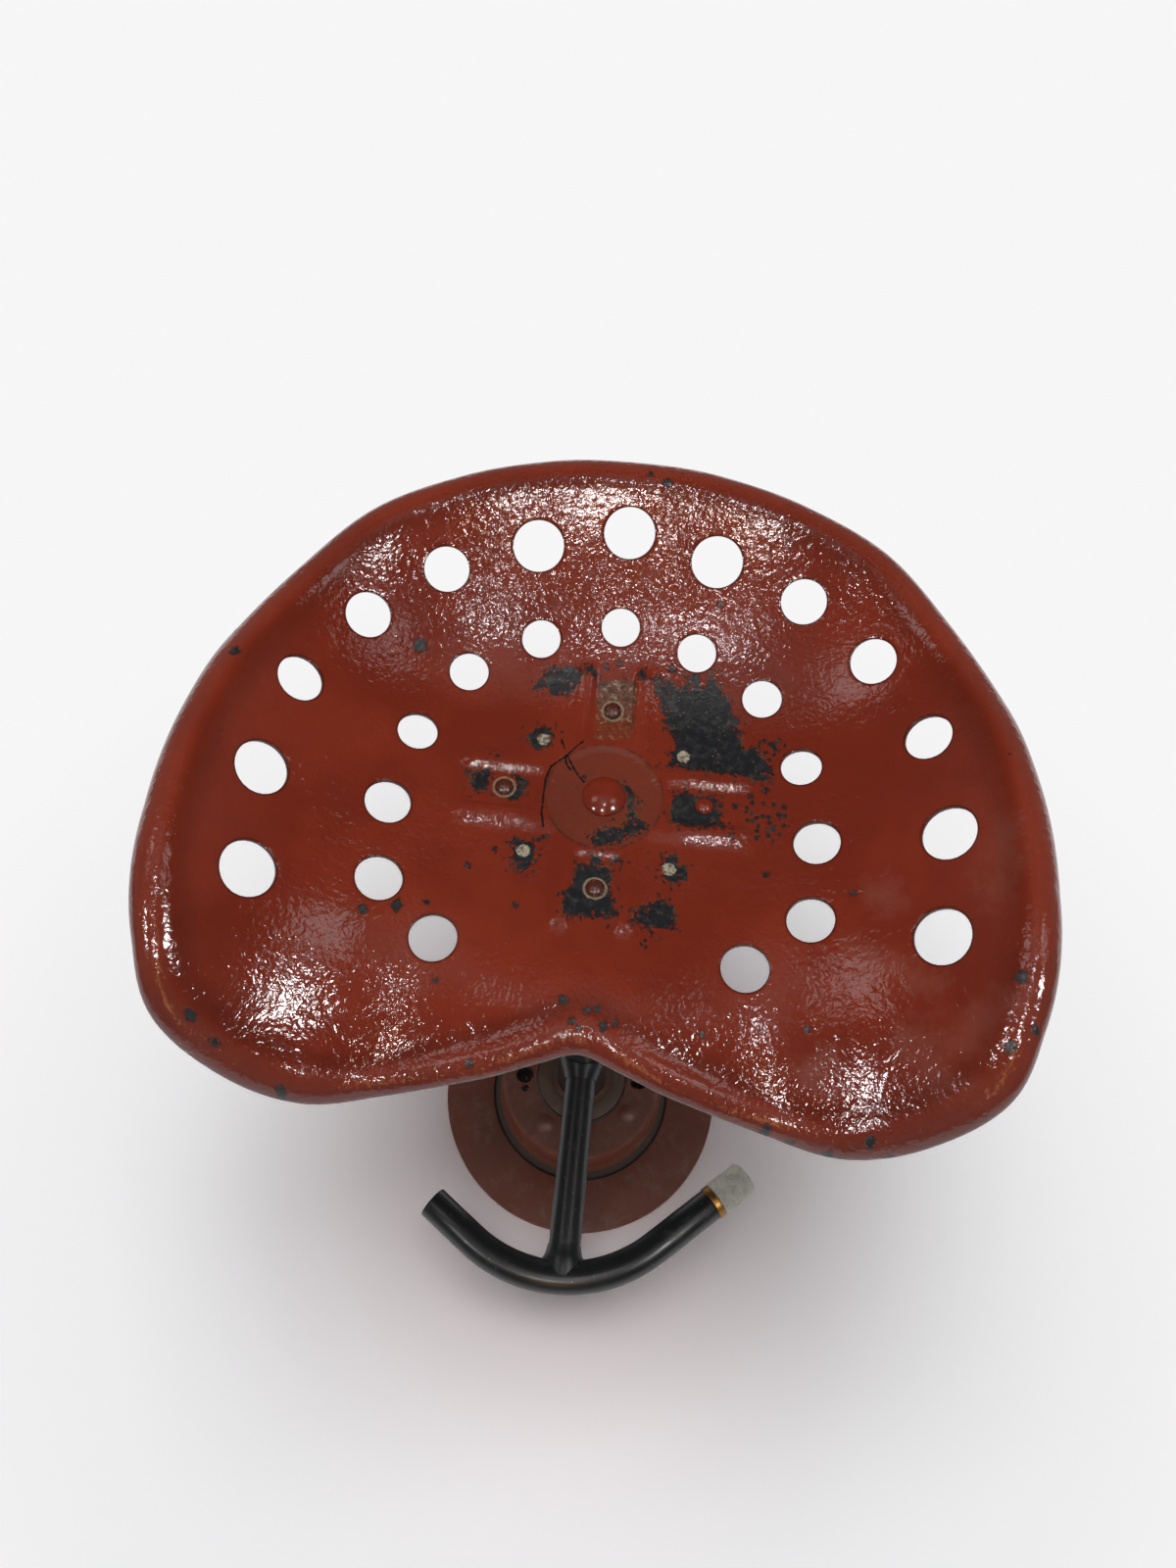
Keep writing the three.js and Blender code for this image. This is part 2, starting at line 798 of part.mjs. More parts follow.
function crossLift(x, y) {
  const [long, short] = [Math.max(Math.abs(x), Math.abs(y)), Math.min(Math.abs(x), Math.abs(y))];
  const out = Math.hypot(x, y);
  const arm = within(long, crossReach, crossSlope) * within(short, crossHalfWidth, crossSlope);
  const channel =
    within(channelStart, long, channelSlope) * within(short, channelHalfWidth, channelSlope);
  const grown = THREE.MathUtils.lerp(middlePocketShare, 1, smooth((out - middlePocketRadius) / crossGrowth));
  const outsidePocket = 1 - within(out, middlePocketRadius, channelSlope);
  return crossHeight * arm * grown * outsidePocket * (1 - channel);
}

// Radius of each row of vertices at an angle: circles in the well, then growing into the outline
function rowRadii(turn) {
  const reach = outlineReach(turn);
  const radii = [...wellRadii];
  for (let i = 1; i <= wallRows; i += 1) {
    radii.push(THREE.MathUtils.lerp(wellRadius, reach - rimWidth, i / wallRows));
  }
  for (const share of levellingRowShares) {
    radii.push(reach - rimWidth + rimLevelling * share);
  }
  for (const share of rollRowShares) {
    radii.push(reach - rimWidth + rimLevelling + rimRollRadius * Math.sin(rollTurn * share));
  }
  return radii;
}

// Blank of the pan: the upper face, and the lower face one sheet's thickness under it
function pressedSheet() {
  const rows = rowRadii(0).length;
  const upper = [new THREE.Vector3()];
  const lower = [new THREE.Vector3(0, 0, -sheetThickness)];
  for (let side = 0; side < panSides; side += 1) {
    const turn = (2 * Math.PI * side) / panSides;
    for (const radius of rowRadii(turn)) {
      const top = sheetPoint(turn, radius);
      const under = top.clone().addScaledVector(sheetNormal(turn, radius), -sheetThickness);
      const lift = crossLift(top.x, top.y);
      top.z += lift;
      under.z += lift;
      upper.push(top);
      lower.push(under);
    }
  }
  const index = [];
  const at = (side, row) => 1 + (side % panSides) * rows + row;
  const quad = (a, b, c, d) => index.push(a, b, c, a, c, d);
  const below = upper.length;
  for (let side = 0; side < panSides; side += 1) {
    index.push(0, at(side, 0), at(side + 1, 0));
    index.push(below, below + at(side + 1, 0), below + at(side, 0));
    for (let row = 0; row < rows - 1; row += 1) {
      const [a, b] = [at(side, row), at(side, row + 1)];
      const [c, d] = [at(side + 1, row + 1), at(side + 1, row)];
      quad(a, b, c, d);
      quad(below + a, below + d, below + c, below + b);
    }
    const [near, far] = [at(side, rows - 1), at(side + 1, rows - 1)];
    quad(near, below + near, below + far, far);
  }
  const geometry = new THREE.BufferGeometry();
  geometry.setFromPoints([...upper, ...lower]);
  geometry.setIndex(index);
  return geometry;
}

// A hole pierced square to the sheet
function holeCutter(turn, reach, radius) {
  const at = sheetPoint(turn, reach);
  const normal = sheetNormal(turn, reach);
  const length = radius + overrun;
  const tool = rod(radius, -length, length, holeSides);
  const lean = new THREE.Quaternion().setFromUnitVectors(new THREE.Vector3(0, 0, 1), normal);
  return tool.applyQuaternion(lean).translate(at.x, at.y, at.z);
}

function seatPan() {
  const tools = [];
  for (const row of holeRows) {
    row.turns.forEach((degrees, i) => {
      const reach = seatHalfWidth * row.reachShares[i];
      tools.push(holeCutter(radians(degrees), reach, row.radius));
      if (degrees < 90) {
        tools.push(holeCutter(radians(180 - degrees), reach, row.radius));
      }
    });
  }
  tools.push(rod(seatBoltRadius + boltClearance, -overrun - sheetThickness, overrun));
  for (const at of rivetPlaces) {
    const top = bowlHeight(at.x, at.y) + overrun;
    tools.push(rod(rivetRadius + rivetClearance, -overrun - sheetThickness, top).translate(at.x, at.y, 0));
  }
  return cut(pressedSheet(), tools);
}

function plateHoles() {
  return rivetPlaces.map((at) => ({ x: at.x, y: at.y, radius: rivetRadius + rivetClearance }));
}

function addRivets(column) {
  const tailTop = backPlateTop - backPlateThickness - seatGap;
  const outerEdge = (rivetCircle + rivetHeadRadius) / rivetCircle;
  rivetPlaces.forEach((at, i) => {
    const headFoot = seatHeight + bowlHeight(at.x * outerEdge, at.y * outerEdge) + seatGap;
    const rivet = turned(
      [
        [0, tailTop - rivetTailHeight],
        [rivetTailRadius, tailTop - rivetTailHeight],
        [rivetTailRadius, tailTop],
        [rivetRadius, tailTop],
        [rivetRadius, headFoot],
        ...domeProfile(rivetHeadRadius, rivetHeadHeight, headFoot),
      ],
      smallSides,
    );
    const mesh = piece(`pan_rivet_${i + 1}`, rivet, rustySteel);
    mesh.position.copy(at);
    column.add(mesh);
  });
}

function addSeat(column) {
  const pan = piece("seat_pan", seatPan(), paintRed);
  pan.position.z = seatHeight;
  column.add(pan);

  const boltHole = { x: 0, y: 0, radius: seatBoltRadius + boltClearance };
  const backHoles = [boltHole, ...plateHoles()];
  const backPlate = squarePlate(backPlateWidth, backPlateCorner, backPlateThickness, backHoles);
  column.add(piece("back_plate", backPlate.translate(0, 0, backPlateTop - backPlateThickness), paintBlack));

  const headPlate = squarePlate(headPlateWidth, headPlateCorner, headPlateThickness, [boltHole]);
  column.add(piece("head_plate", headPlate.translate(0, 0, headPlateFoot), paintBlack));

  const nutFoot = headPlateFoot - seatGap - seatNutHeight;
  const nut = hexNut(seatNutAcross, seatNutHeight, seatBoltRadius + seatGap);
  column.add(piece("seat_nut", nut.translate(0, 0, nutFoot), zincSteel));

  const headFoot = seatHeight + seatGap;
  const shank = headFoot - nutFoot + seatBoltTail;
  const bolt = cupBolt(seatBoltHeadRadius, seatBoltHeadHeight, seatBoltRadius, shank);
  column.add(piece("seat_bolt", bolt.translate(0, 0, headFoot), paintRed));
  addRivets(column);
}

function addSwivel(column) {
  column.add(piece("spindle", spindle(), zincSteel));
  const keeper = ring(threadRadius + seatGap, keeperRadius, keeperTop - keeperThickness, keeperTop);
  column.add(piece("spindle_washer", keeper, zincSteel));
  const nut = hexNut(spindleNutAcross, spindleNutHeight, threadRadius + seatGap, turnedSides);
  column.add(piece("spindle_nut", nut.translate(0, 0, spindleNutTop - spindleNutHeight), zincSteel));
  column.add(piece("hub_ring", hubRing(), bareSteel));
}

function addPost(column) {
  column.add(piece("post", ring(postBore, postRadius, postFoot, postTop), paintBlack));
  column.add(piece("foot_weld", postWeld(1).translate(0, 0, postFoot), rustySteel));
  column.add(piece("head_weld", postWeld(-1).translate(0, 0, postTop), paintBlack));
}

const base = new THREE.Group();
base.position.y = columnBack;
base.add(piece("brake_disc", brakeDisc(), oxidePaint));
base.add(piece("swivel_housing", swivelHousing(), zincSteel));
base.add(piece("upper_bush", upperBush(), bronze));
base.add(piece("lower_bush", lowerBush(), bronze));
addHubBolts(base);

const column = new THREE.Group();
column.position.y = columnBack;
addSwivel(column);
addPost(column);
addFootrest(column);
addSeat(column);

const stool = new THREE.Group();
stool.add(base, column);

export default stool;
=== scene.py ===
import math
from contextlib import contextmanager
from functools import reduce
from operator import or_

import bmesh
import bpy
import numpy as np
from bpy.props import FloatProperty, FloatVectorProperty, IntProperty, PointerProperty
from mathutils import Matrix, Vector


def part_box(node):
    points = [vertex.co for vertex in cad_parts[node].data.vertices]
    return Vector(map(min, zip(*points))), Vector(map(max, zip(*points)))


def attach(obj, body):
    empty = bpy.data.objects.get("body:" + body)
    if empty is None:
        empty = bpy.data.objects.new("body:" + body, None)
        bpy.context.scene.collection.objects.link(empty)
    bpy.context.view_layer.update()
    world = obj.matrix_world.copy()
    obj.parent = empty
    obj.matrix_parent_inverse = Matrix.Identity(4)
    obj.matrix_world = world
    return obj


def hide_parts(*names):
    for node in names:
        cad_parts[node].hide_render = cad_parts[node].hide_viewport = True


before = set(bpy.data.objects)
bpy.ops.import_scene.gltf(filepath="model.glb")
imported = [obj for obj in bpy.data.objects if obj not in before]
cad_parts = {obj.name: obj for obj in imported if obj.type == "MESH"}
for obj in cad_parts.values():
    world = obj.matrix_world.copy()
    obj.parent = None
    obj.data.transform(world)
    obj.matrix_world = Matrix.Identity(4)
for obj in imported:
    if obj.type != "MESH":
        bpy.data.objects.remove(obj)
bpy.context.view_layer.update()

bl_info = {
    "name": "Tractor seat stool",
    "version": (1, 0, 0),
    "blender": (4, 5, 0),
    "location": "3D View > Sidebar > Stool",
    "description": "A pressed steel seat on a post with a footrest, standing on a brake disc",
    "category": "Add Mesh",
}

MM = 0.001
SEAT_GAP = 0.3 * MM  # left between two pieces that seat on each other


def middle(node):
    low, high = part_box(node)
    return (low + high) / 2


def size(node):
    low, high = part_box(node)
    return high - low


AXIS = middle("post")  # the column's axis, in x and y
SEAT_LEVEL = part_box("back_plate")[1].z + SEAT_GAP + 2.5 * MM  # top of the sheet under the bolt
FOOTREST_LEVEL = middle("footrest_bar").z


# Properties that a user would change

def length(name, description, default):
    return FloatProperty(name=name, description=description, default=default, unit="LENGTH", precision=4)


def angle(name, description, degrees):
    return FloatProperty(name=name, description=description, default=math.radians(degrees), subtype="ANGLE")


def power(name, description, default):
    return FloatProperty(name=name, description=description, default=default, unit="POWER")


def colour(name, description, red, green, blue):
    """A colour that is written as it looks on a screen, 0 to 255."""
    linear = [((c / 255 + 0.055) / 1.055) ** 2.4 if c > 10 else c / 255 / 12.92 for c in (red, green, blue)]
    return FloatVectorProperty(
        name=name, description=description, default=linear, subtype="COLOR", size=3, min=0, max=1
    )


class StoolStage(bpy.types.PropertyGroup):
    lens: FloatProperty(name="Lens", description="Focal length of the camera", default=25.99, unit="CAMERA")
    camera_place: FloatVectorProperty(
        name="Camera place",
        description="Where the camera stands, from the column's axis on the floor",
        default=(0.00518, -0.29347, 1.21624),
        subtype="TRANSLATION",
    )
    camera_turn: angle("Camera turn", "Turn of the camera to the side", 2.8)
    camera_tilt: angle("Camera tilt", "Lean of the camera out of straight down", 28.84)
    camera_roll: angle("Camera roll", "Roll of the camera about its line of sight", 3.01)
    floor_size: length("Floor", "Side of the square floor", 8.0)
    floor_colour: colour("Floor colour", "Pale floor", 243, 242, 243)
    sky: FloatProperty(name="Sky", description="Strength of the light from all round", default=0.155, min=0)
    key_power: power("Key lamp", "Power of the soft lamp overhead", 24.0)
    key_size: length("Key lamp size", "Side of the soft lamp overhead", 0.75)
    key_height: length("Key lamp height", "Height of the soft lamp over the floor", 2.2)
    glint_power: power("Glints", "Power of a whole glint lamp", 66.0)
    glint_size: length("Glint size", "Side of a whole glint lamp", 0.55)
    glint_distance: length("Glint distance", "From the seat to each glint lamp", 4.0)
    sheen_power: power("Sheen", "Power of each broad dim lamp", 9.0)
    warm_power: power("Warm glints", "Power of the tall warm lamp", 17.0)


class StoolPan(bpy.types.PropertyGroup):
    half_width: length("Half width", "From the bolt to the side of the outline", 0.218)
    thickness: length("Thickness", "Thickness of the sheet", 0.0025)
    side_flat: length("Side flat", "Half width of the level middle", 0.040)
    side_run: length("Side run", "From the level middle to the full rise at the side", 0.167)
    side_rise: length("Side rise", "Rise of the bowl at the side", 0.075)
    rear_flat: length("Rear flat", "From the bolt to where the rear starts to rise", 0.045)
    rear_run: length("Rear run", "From there to the full rise at the rear", 0.130)
    rear_rise: length("Rear rise", "Rise of the bowl at the rear", 0.070)
    front_flat: length("Front flat", "From the bolt to where the front starts to fall", 0.055)
    front_run: length("Front run", "From there to the full fall", 0.115)
    front_drop: length("Front drop", "Fall of the front", 0.028)
    pommel: length("Pommel", "Height of the low ridge between the two lobes", 0.012)
    rim_levelling: length("Rim levelling", "Width over which the sheet levels out to its crest", 0.0105)
    rim_roll: length("Rim roll", "Radius at which the rim rolls over", 0.015)
    cross_height: length("Cross height", "Height of the pressed cross", 0.003)
    cells: IntProperty(name="Cells", description="Cells along each side of the sheet's grid", default=200, min=60)


class StoolBase(bpy.types.PropertyGroup):
    disc_radius: length("Disc radius", "Outside of the friction ring", size("brake_disc").x / 2)
    ring_thickness: length("Ring thickness", "Thickness of the friction ring", 0.012)
    ring_bore: length("Ring bore", "Bore of the friction ring", 0.082)
    hat_radius: length("Hat radius", "Outside of the hat", 0.079)
    hat_height: length("Hat height", "Top of the hat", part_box("brake_disc")[1].z)
    hat_plate: length("Hat plate", "Thickness of the hat's top and wall", 0.008)
    hat_round: length("Hat round", "Round of the hat's edge", 0.004)
    bore: length("Bore", "Bore of the hat", 0.045)
    flare_radius: length("Flare radius", "Foot of the bare turned band", 0.0888)
    flare_top: length("Flare top", "Top of the turned band", 0.025)
    flare_foot: length("Flare foot", "Foot of the turned band's slope", 0.014)
    groove: length("Groove", "Width of the groove beside the band", 0.0025)
    lug_circle: length("Lug circle", "Radius of the circle of wheel holes", 0.0575)
    lug_radius: length("Lug radius", "Radius of a wheel hole", 0.0085)
    locator_circle: length("Locator circle", "Radius at which the locating hole stands", 0.058)
    locator_radius: length("Locator radius", "Radius of the locating hole", 0.0035)


class StoolFootrest(bpy.types.PropertyGroup):
    reach: length("Reach", "From the post's axis to the middle of the bar", 0.200)
    tube_radius: length("Tube radius", "Outside of the tube", size("footrest_bar").z / 2)
    wall: length("Wall", "Wall of the tube", 0.0026)
    bend_radius: length("Bend radius", "Radius of the bar's bend", 0.125)
    bend: angle("Bend", "Bend to each side", 38)
    left_arm: length("Left arm", "Straight end on the left", 0.046)
    right_arm: length("Right arm", "Straight end on the right", 0.060)
    turn: angle("Turn", "How askew the bar sits on its stem", 3)
    ferrule_radius: length("Ferrule radius", "Outside of the brass ferrule", 0.0142)
    ferrule_length: length("Ferrule length", "Length of the ferrule that shows", 0.006)
    cap_radius: length("Cap radius", "Outside of the end cap", 0.0148)
    cap_length: length("Cap length", "Length of the end cap", 0.033)


class StoolFinishes(bpy.types.PropertyGroup):
    enamel: colour("Enamel", "Red enamel of the seat", 112, 38, 22)
    undercoat: colour("Undercoat", "Dark coat that shows where the enamel is gone", 25, 26, 28)
    old_enamel: colour("Old enamel", "Brown, older enamel on the rivets", 74, 34, 24)
    black_paint: colour("Black paint", "Paint of the post and footrest", 24, 27, 29)
    oxide: colour("Oxide paint", "Dull red-brown paint of the disc", 140, 76, 55)
    bare_ring: colour("Bare ring", "Turned ring in the middle of the disc", 98, 72, 54)
    plated: colour("Plated steel", "Zinc on the nuts, washers and housing", 168, 168, 170)
    bronze: colour("Bronze", "Bushes of the swivel", 176, 128, 74)
    brass: colour("Brass", "Ferrule on the footrest", 178, 132, 72)
    cap: colour("End cap", "Grubby pale plastic", 240, 236, 222)


# Selection and shaping, as by hand

def begin():
    """Leaves object mode on and nothing selected, so that an operator acts on the new piece alone."""
    if bpy.context.object and bpy.context.object.mode != "OBJECT":
        bpy.ops.object.mode_set(mode="OBJECT")
    bpy.context.tool_settings.mesh_select_mode = (True, False, False)
    bpy.ops.object.select_all(action="DESELECT")


def take(piece):
    begin()
    piece.select_set(True)
    bpy.context.view_layer.objects.active = piece
    return piece


@contextmanager
def editing(action="SELECT"):
    """Edit mode with all selected or nothing."""
    bpy.ops.object.mode_set(mode="EDIT")
    bpy.ops.mesh.select_all(action=action)
    yield
    bpy.ops.object.mode_set(mode="OBJECT")


def select_open_edges():
    bpy.ops.mesh.select_all(action="DESELECT")
    bpy.ops.mesh.select_mode(type="EDGE")
    bpy.ops.mesh.select_non_manifold()


def tidy_normals(piece):
    take(piece)
    with editing():
        bpy.ops.mesh.remove_doubles(threshold=0.01 * MM)
        bpy.ops.mesh.normals_make_consistent(inside=False)


def keep_place():
    """Moves the selected pieces' places into their meshes."""
    bpy.ops.object.transform_apply(location=True, rotation=True, scale=True)


def above(level, *steps):
    """Profile points from (radius, height) pairs in mm over a level."""
    return [(radius * MM, level + height * MM) for radius, height in steps]


def rounded(corners, steps=4):
    """A profile from (radius, height, round) corners, with each corner turned into an arc of that round."""
    points = []
    for i, (radius, height, fillet) in enumerate(corners):
        corner = Vector((radius, height))
        if not fillet:
            points.append(corner)
            continue
        before = (Vector(corners[i - 1][:2]) - corner).normalized()
        after = (Vector(corners[(i + 1) % len(corners)][:2]) - corner).normalized()
        half = before.angle(after) / 2
        centre = corner + (before + after).normalized() * fillet / math.sin(half)
        start = corner + before * fillet / math.tan(half) - centre
        end = corner + after * fillet / math.tan(half) - centre
        sweep = start.angle_signed(end)
        for step in range(steps + 1):
            points.append(centre + Matrix.Rotation(-sweep * step / steps, 2) @ start)
    return [(point.x, point.y) for point in points]


def turned(profile, sides=64, at=(0, 0), ring=False):
    """A profile of (radius, height) pairs turned about a vertical axis: capped at its ends, or closed on itself."""
    begin()
    radius, height = profile[0]
    bpy.ops.mesh.primitive_circle_add(vertices=sides, radius=radius, location=(at[0], at[1], height))
    with editing():
        for new_radius, new_height in profile[1:]:
            bpy.ops.mesh.extrude_region_move(TRANSFORM_OT_translate={"value": (0, 0, new_height - height)})
            share = new_radius / radius
            bpy.ops.transform.resize(value=(share, share, 1), center_override=(at[0], at[1], new_height))
            radius, height = new_radius, new_height
        select_open_edges()
        if ring:
            bpy.ops.mesh.bridge_edge_loops()
        else:
            bpy.ops.mesh.fill_holes(sides=0)
    piece = bpy.context.object
    tidy_normals(piece)
    keep_place()
    return piece


def dome(radius, height, foot, steps=6):
    """Profile of a low dome, from its rim to close by its crown."""
    sphere = (radius ** 2 + height ** 2) / (2 * height)
    leans = [math.asin(radius / sphere) * (1 - step / (steps + 0.2)) for step in range(steps + 1)]
    return [(sphere * math.sin(lean), foot + height - sphere * (1 - math.cos(lean))) for lean in leans]


def modifier(piece, kind, **settings):
    """Adds a modifier with its settings and applies it."""
    take(piece)
    added = piece.modifiers.new(kind.title(), kind)
    for key, value in settings.items():
        setattr(added, key, value)
    bpy.ops.object.modifier_apply(modifier=added.name)
    return piece


def cut(piece, tools):
    """Cuts the piece with each tool and deletes the tools."""
    for tool in tools:
        modifier(piece, "BOOLEAN", object=tool, operation="DIFFERENCE", solver="EXACT")
        bpy.data.objects.remove(tool, do_unlink=True)
    return piece


def place(piece, matrix):
    """Puts a piece that was made round the origin where it belongs, with its place in its mesh."""
    take(piece)
    piece.matrix_world = matrix
    keep_place()
    return piece


def deliver(piece, name, body, slot, material, *nodes, sharp=32):
    """Finishes a piece: its smooth shading, name and material, the body it rides on and the nodes it replaces."""
    take(piece)
    keep_place()
    bpy.ops.object.shade_smooth_by_angle(angle=math.radians(sharp))
    piece.name = name
    piece.data.name = name
    piece.data.materials.clear()
    piece.data.materials.append(material)
    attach(piece, body)
    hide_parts(*nodes)


def dress(node, material):
    """Gives a carried CAD node a better material."""
    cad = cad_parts[node]
    cad.data.materials.clear()
    cad.data.materials.append(material)


# The sheet of the seat: the same pressed form as the solid's

OUTLINE_TURNS = [-90, -82.5, -75, -67.5, -60, -52.5, -45, -37.5, -30, -15, 0, 15, 30, 45, 60, 75, 90]
OUTLINE_REACH_SHARES = [
    0.65, 0.683, 0.736, 0.799, 0.889, 1.016, 1.105, 1.155, 1.122,
    1.045, 1, 0.984, 0.972, 0.967, 0.931, 0.894, 0.877,
]
ROLL_DEGREES = 75
SIDE_POWER, REAR_POWER = 2.6, 1.7
FRONT_BOW_SHARE = 0.37
POMMEL_HALF_WIDTH, POMMEL_START, POMMEL_RUN = 110 * MM, 60 * MM, 75 * MM
CROSS_REACH, CROSS_HALF_WIDTH, CROSS_SLOPE = 84 * MM, 27 * MM, 11 * MM
CHANNEL_START, CHANNEL_HALF_WIDTH, CHANNEL_SLOPE = 33 * MM, 14 * MM, 4 * MM
MIDDLE_POCKET, MIDDLE_POCKET_SHARE, CROSS_GROWTH = 32 * MM, 0.4, 22 * MM
PROBE = 0.5 * MM  # step over which a slope is taken
HOLE_LIFT = 60 * MM  # height at which a hole's circle is held while it is bridged
HOLE_EVENNESS = 0.3  # how far its points are evened out, rather than set beside the sheet's
GRID_MIDDLE = 88 * MM  # half side of the even middle of the sheet's grid
GRID_MIDDLE_SHARE, GRID_RIM_SHARE, GRID_RIM_POWER = 0.55, 0.15, 1.25
MARK_DEPTH = 30  # mm from its edge to which a mark is followed

# Pierced holes of the right half: radius, then (turn, reach as a share of the half width)
HOLE_ROWS = [
    (14.3 * MM, [(-25, 0.855), (-8, 0.807)]),
    (12.8 * MM, [(11.5, 0.787), (31, 0.76), (49.5, 0.725)]),
    (14.6 * MM, [(69.5, 0.676), (90, 0.677)]),
    (12.2 * MM, [(-49, 0.556), (-30, 0.59), (-10, 0.534)]),
    (11 * MM, [(14, 0.504), (39.5, 0.5), (64, 0.472), (90, 0.469)]),
]
BOLT_HOLE, RIVET_HOLE = 5.5 * MM, 3.4 * MM
RIVET_PLACES = [(55 * MM, 0), (0, 55 * MM), (-55 * MM, 0), (0, -55 * MM)]
RIVET_RINGS = [(0, 55, 6.5), (-55, 0, 6.5), (0, -55, 6.5)]  # scraped rings: x, y, radius, in mm from the bolt
NUGGETS = [(-37, 33), (42, 30), (-40, -37), (38, -40)]  # spot welds between the arms, in mm from the bolt
NUGGET_RADIUS = 3.6


def smooth(value):
    value = np.clip(value, 0, 1)
    return value * value * (3 - 2 * value)


class Sheet:
    """Heights of the pressed sheet over its middle, in metres from the bolt: x to the right, y to the rear."""

    def __init__(self, sizes):
        self.sizes = sizes
        roll = math.radians(ROLL_DEGREES)
        self.roll_slope = math.tan(roll)
        self.rim_width = sizes.rim_levelling + sizes.rim_roll * math.sin(roll)

    def reach(self, turn):
        """Reach of the outline at an angle, on a smooth curve through the listed angles, alike on both sides."""
        folded = np.degrees(np.arcsin(np.clip(np.sin(turn), -1, 1)))
        turns = np.array(OUTLINE_TURNS, float)
        shares = np.array(OUTLINE_REACH_SHARES, float)
        slopes = np.zeros(len(turns))
        slopes[1:-1] = (shares[2:] - shares[:-2]) / (turns[2:] - turns[:-2])
        i = np.clip(np.searchsorted(turns, folded, side="right") - 1, 0, len(turns) - 2)
        width = turns[i + 1] - turns[i]
        t = (folded - turns[i]) / width
        share = (
            shares[i] * (2 * t ** 3 - 3 * t ** 2 + 1)
            + shares[i + 1] * (3 * t ** 2 - 2 * t ** 3)
            + slopes[i] * width * (t ** 3 - 2 * t ** 2 + t)
            + slopes[i + 1] * width * (t ** 3 - t ** 2)
        )
        return self.sizes.half_width * share

    def bowl(self, x, y):
        s = self.sizes
        side = np.maximum(np.abs(x) - s.side_flat, 0) / s.side_run
        rear = np.maximum(y - s.rear_flat, 0) / s.rear_run
        front = np.maximum(-y - s.front_flat, 0) / s.front_run
        fall = (1 + FRONT_BOW_SHARE) * front ** 2 - FRONT_BOW_SHARE * front
        across = (1 + np.cos(np.pi * np.minimum(np.abs(x) / POMMEL_HALF_WIDTH, 1))) / 2
        pommel = s.pommel * smooth((-y - POMMEL_START) / POMMEL_RUN) * across
        return s.side_rise * side ** SIDE_POWER + s.rear_rise * rear ** REAR_POWER - s.front_drop * fall + pommel

    def cross(self, x, y):
        """The cross pressed up in the middle, with a channel along each arm and a shallow round pocket."""
        def within(distance, limit, slope):
            return smooth((limit - distance) / slope)

        long, short = np.maximum(np.abs(x), np.abs(y)), np.minimum(np.abs(x), np.abs(y))
        out = np.hypot(x, y)
        arm = within(long, CROSS_REACH, CROSS_SLOPE) * within(short, CROSS_HALF_WIDTH, CROSS_SLOPE)
        channel = within(CHANNEL_START, long, CHANNEL_SLOPE) * within(short, CHANNEL_HALF_WIDTH, CHANNEL_SLOPE)
        grown = MIDDLE_POCKET_SHARE + (1 - MIDDLE_POCKET_SHARE) * smooth((out - MIDDLE_POCKET) / CROSS_GROWTH)
        outside = 1 - within(out, MIDDLE_POCKET, CHANNEL_SLOPE)
        return self.sizes.cross_height * arm * grown * outside * (1 - channel)

    def height(self, x, y):
        s = self.sizes
        turn, radius = np.arctan2(y, x), np.hypot(x, y)
        fold = np.minimum(radius, self.reach(turn) - self.rim_width)
        at = self.bowl(fold * np.cos(turn), fold * np.sin(turn))
        inside = self.bowl((fold - PROBE) * np.cos(turn), (fold - PROBE) * np.sin(turn))
        slope = (at - inside) / PROBE
        past = radius - fold
        levelled = np.minimum(past, s.rim_levelling)
        over = np.clip(past - s.rim_levelling, 0, self.rim_width - s.rim_levelling)
        beyond = np.maximum(past - self.rim_width, 0)
        roll = s.rim_roll - np.sqrt(s.rim_roll ** 2 - over ** 2) + beyond * self.roll_slope
        rim = slope * levelled * (1 - levelled / (2 * s.rim_levelling)) - roll
        return at + rim + self.cross(x, y)

    def point(self, x, y):
        return Vector((x, y, float(self.height(x, y))))

    def facing(self, x, y):
        """The two level directions of the sheet at a place, and the way it faces."""
        across = (self.point(x + PROBE, y) - self.point(x - PROBE, y)).normalized()
        back = (self.point(x, y + PROBE) - self.point(x, y - PROBE)).normalized()
        up = across.cross(back).normalized()
        return across, up.cross(across), up


def hole_places(half_width):
    """Radius, x and y of every pierced hole, from the bolt."""
    places = []
    for radius, row in HOLE_ROWS:
        for turn, share in row:
            x = half_width * share * math.cos(math.radians(turn))
            y = half_width * share * math.sin(math.radians(turn))
            places.append((radius, x, y))
            if turn < 90:
                places.append((radius, -x, y))
    return places


# Where the paint is gone or marked, in mm from the bolt: x to the right, y to the rear

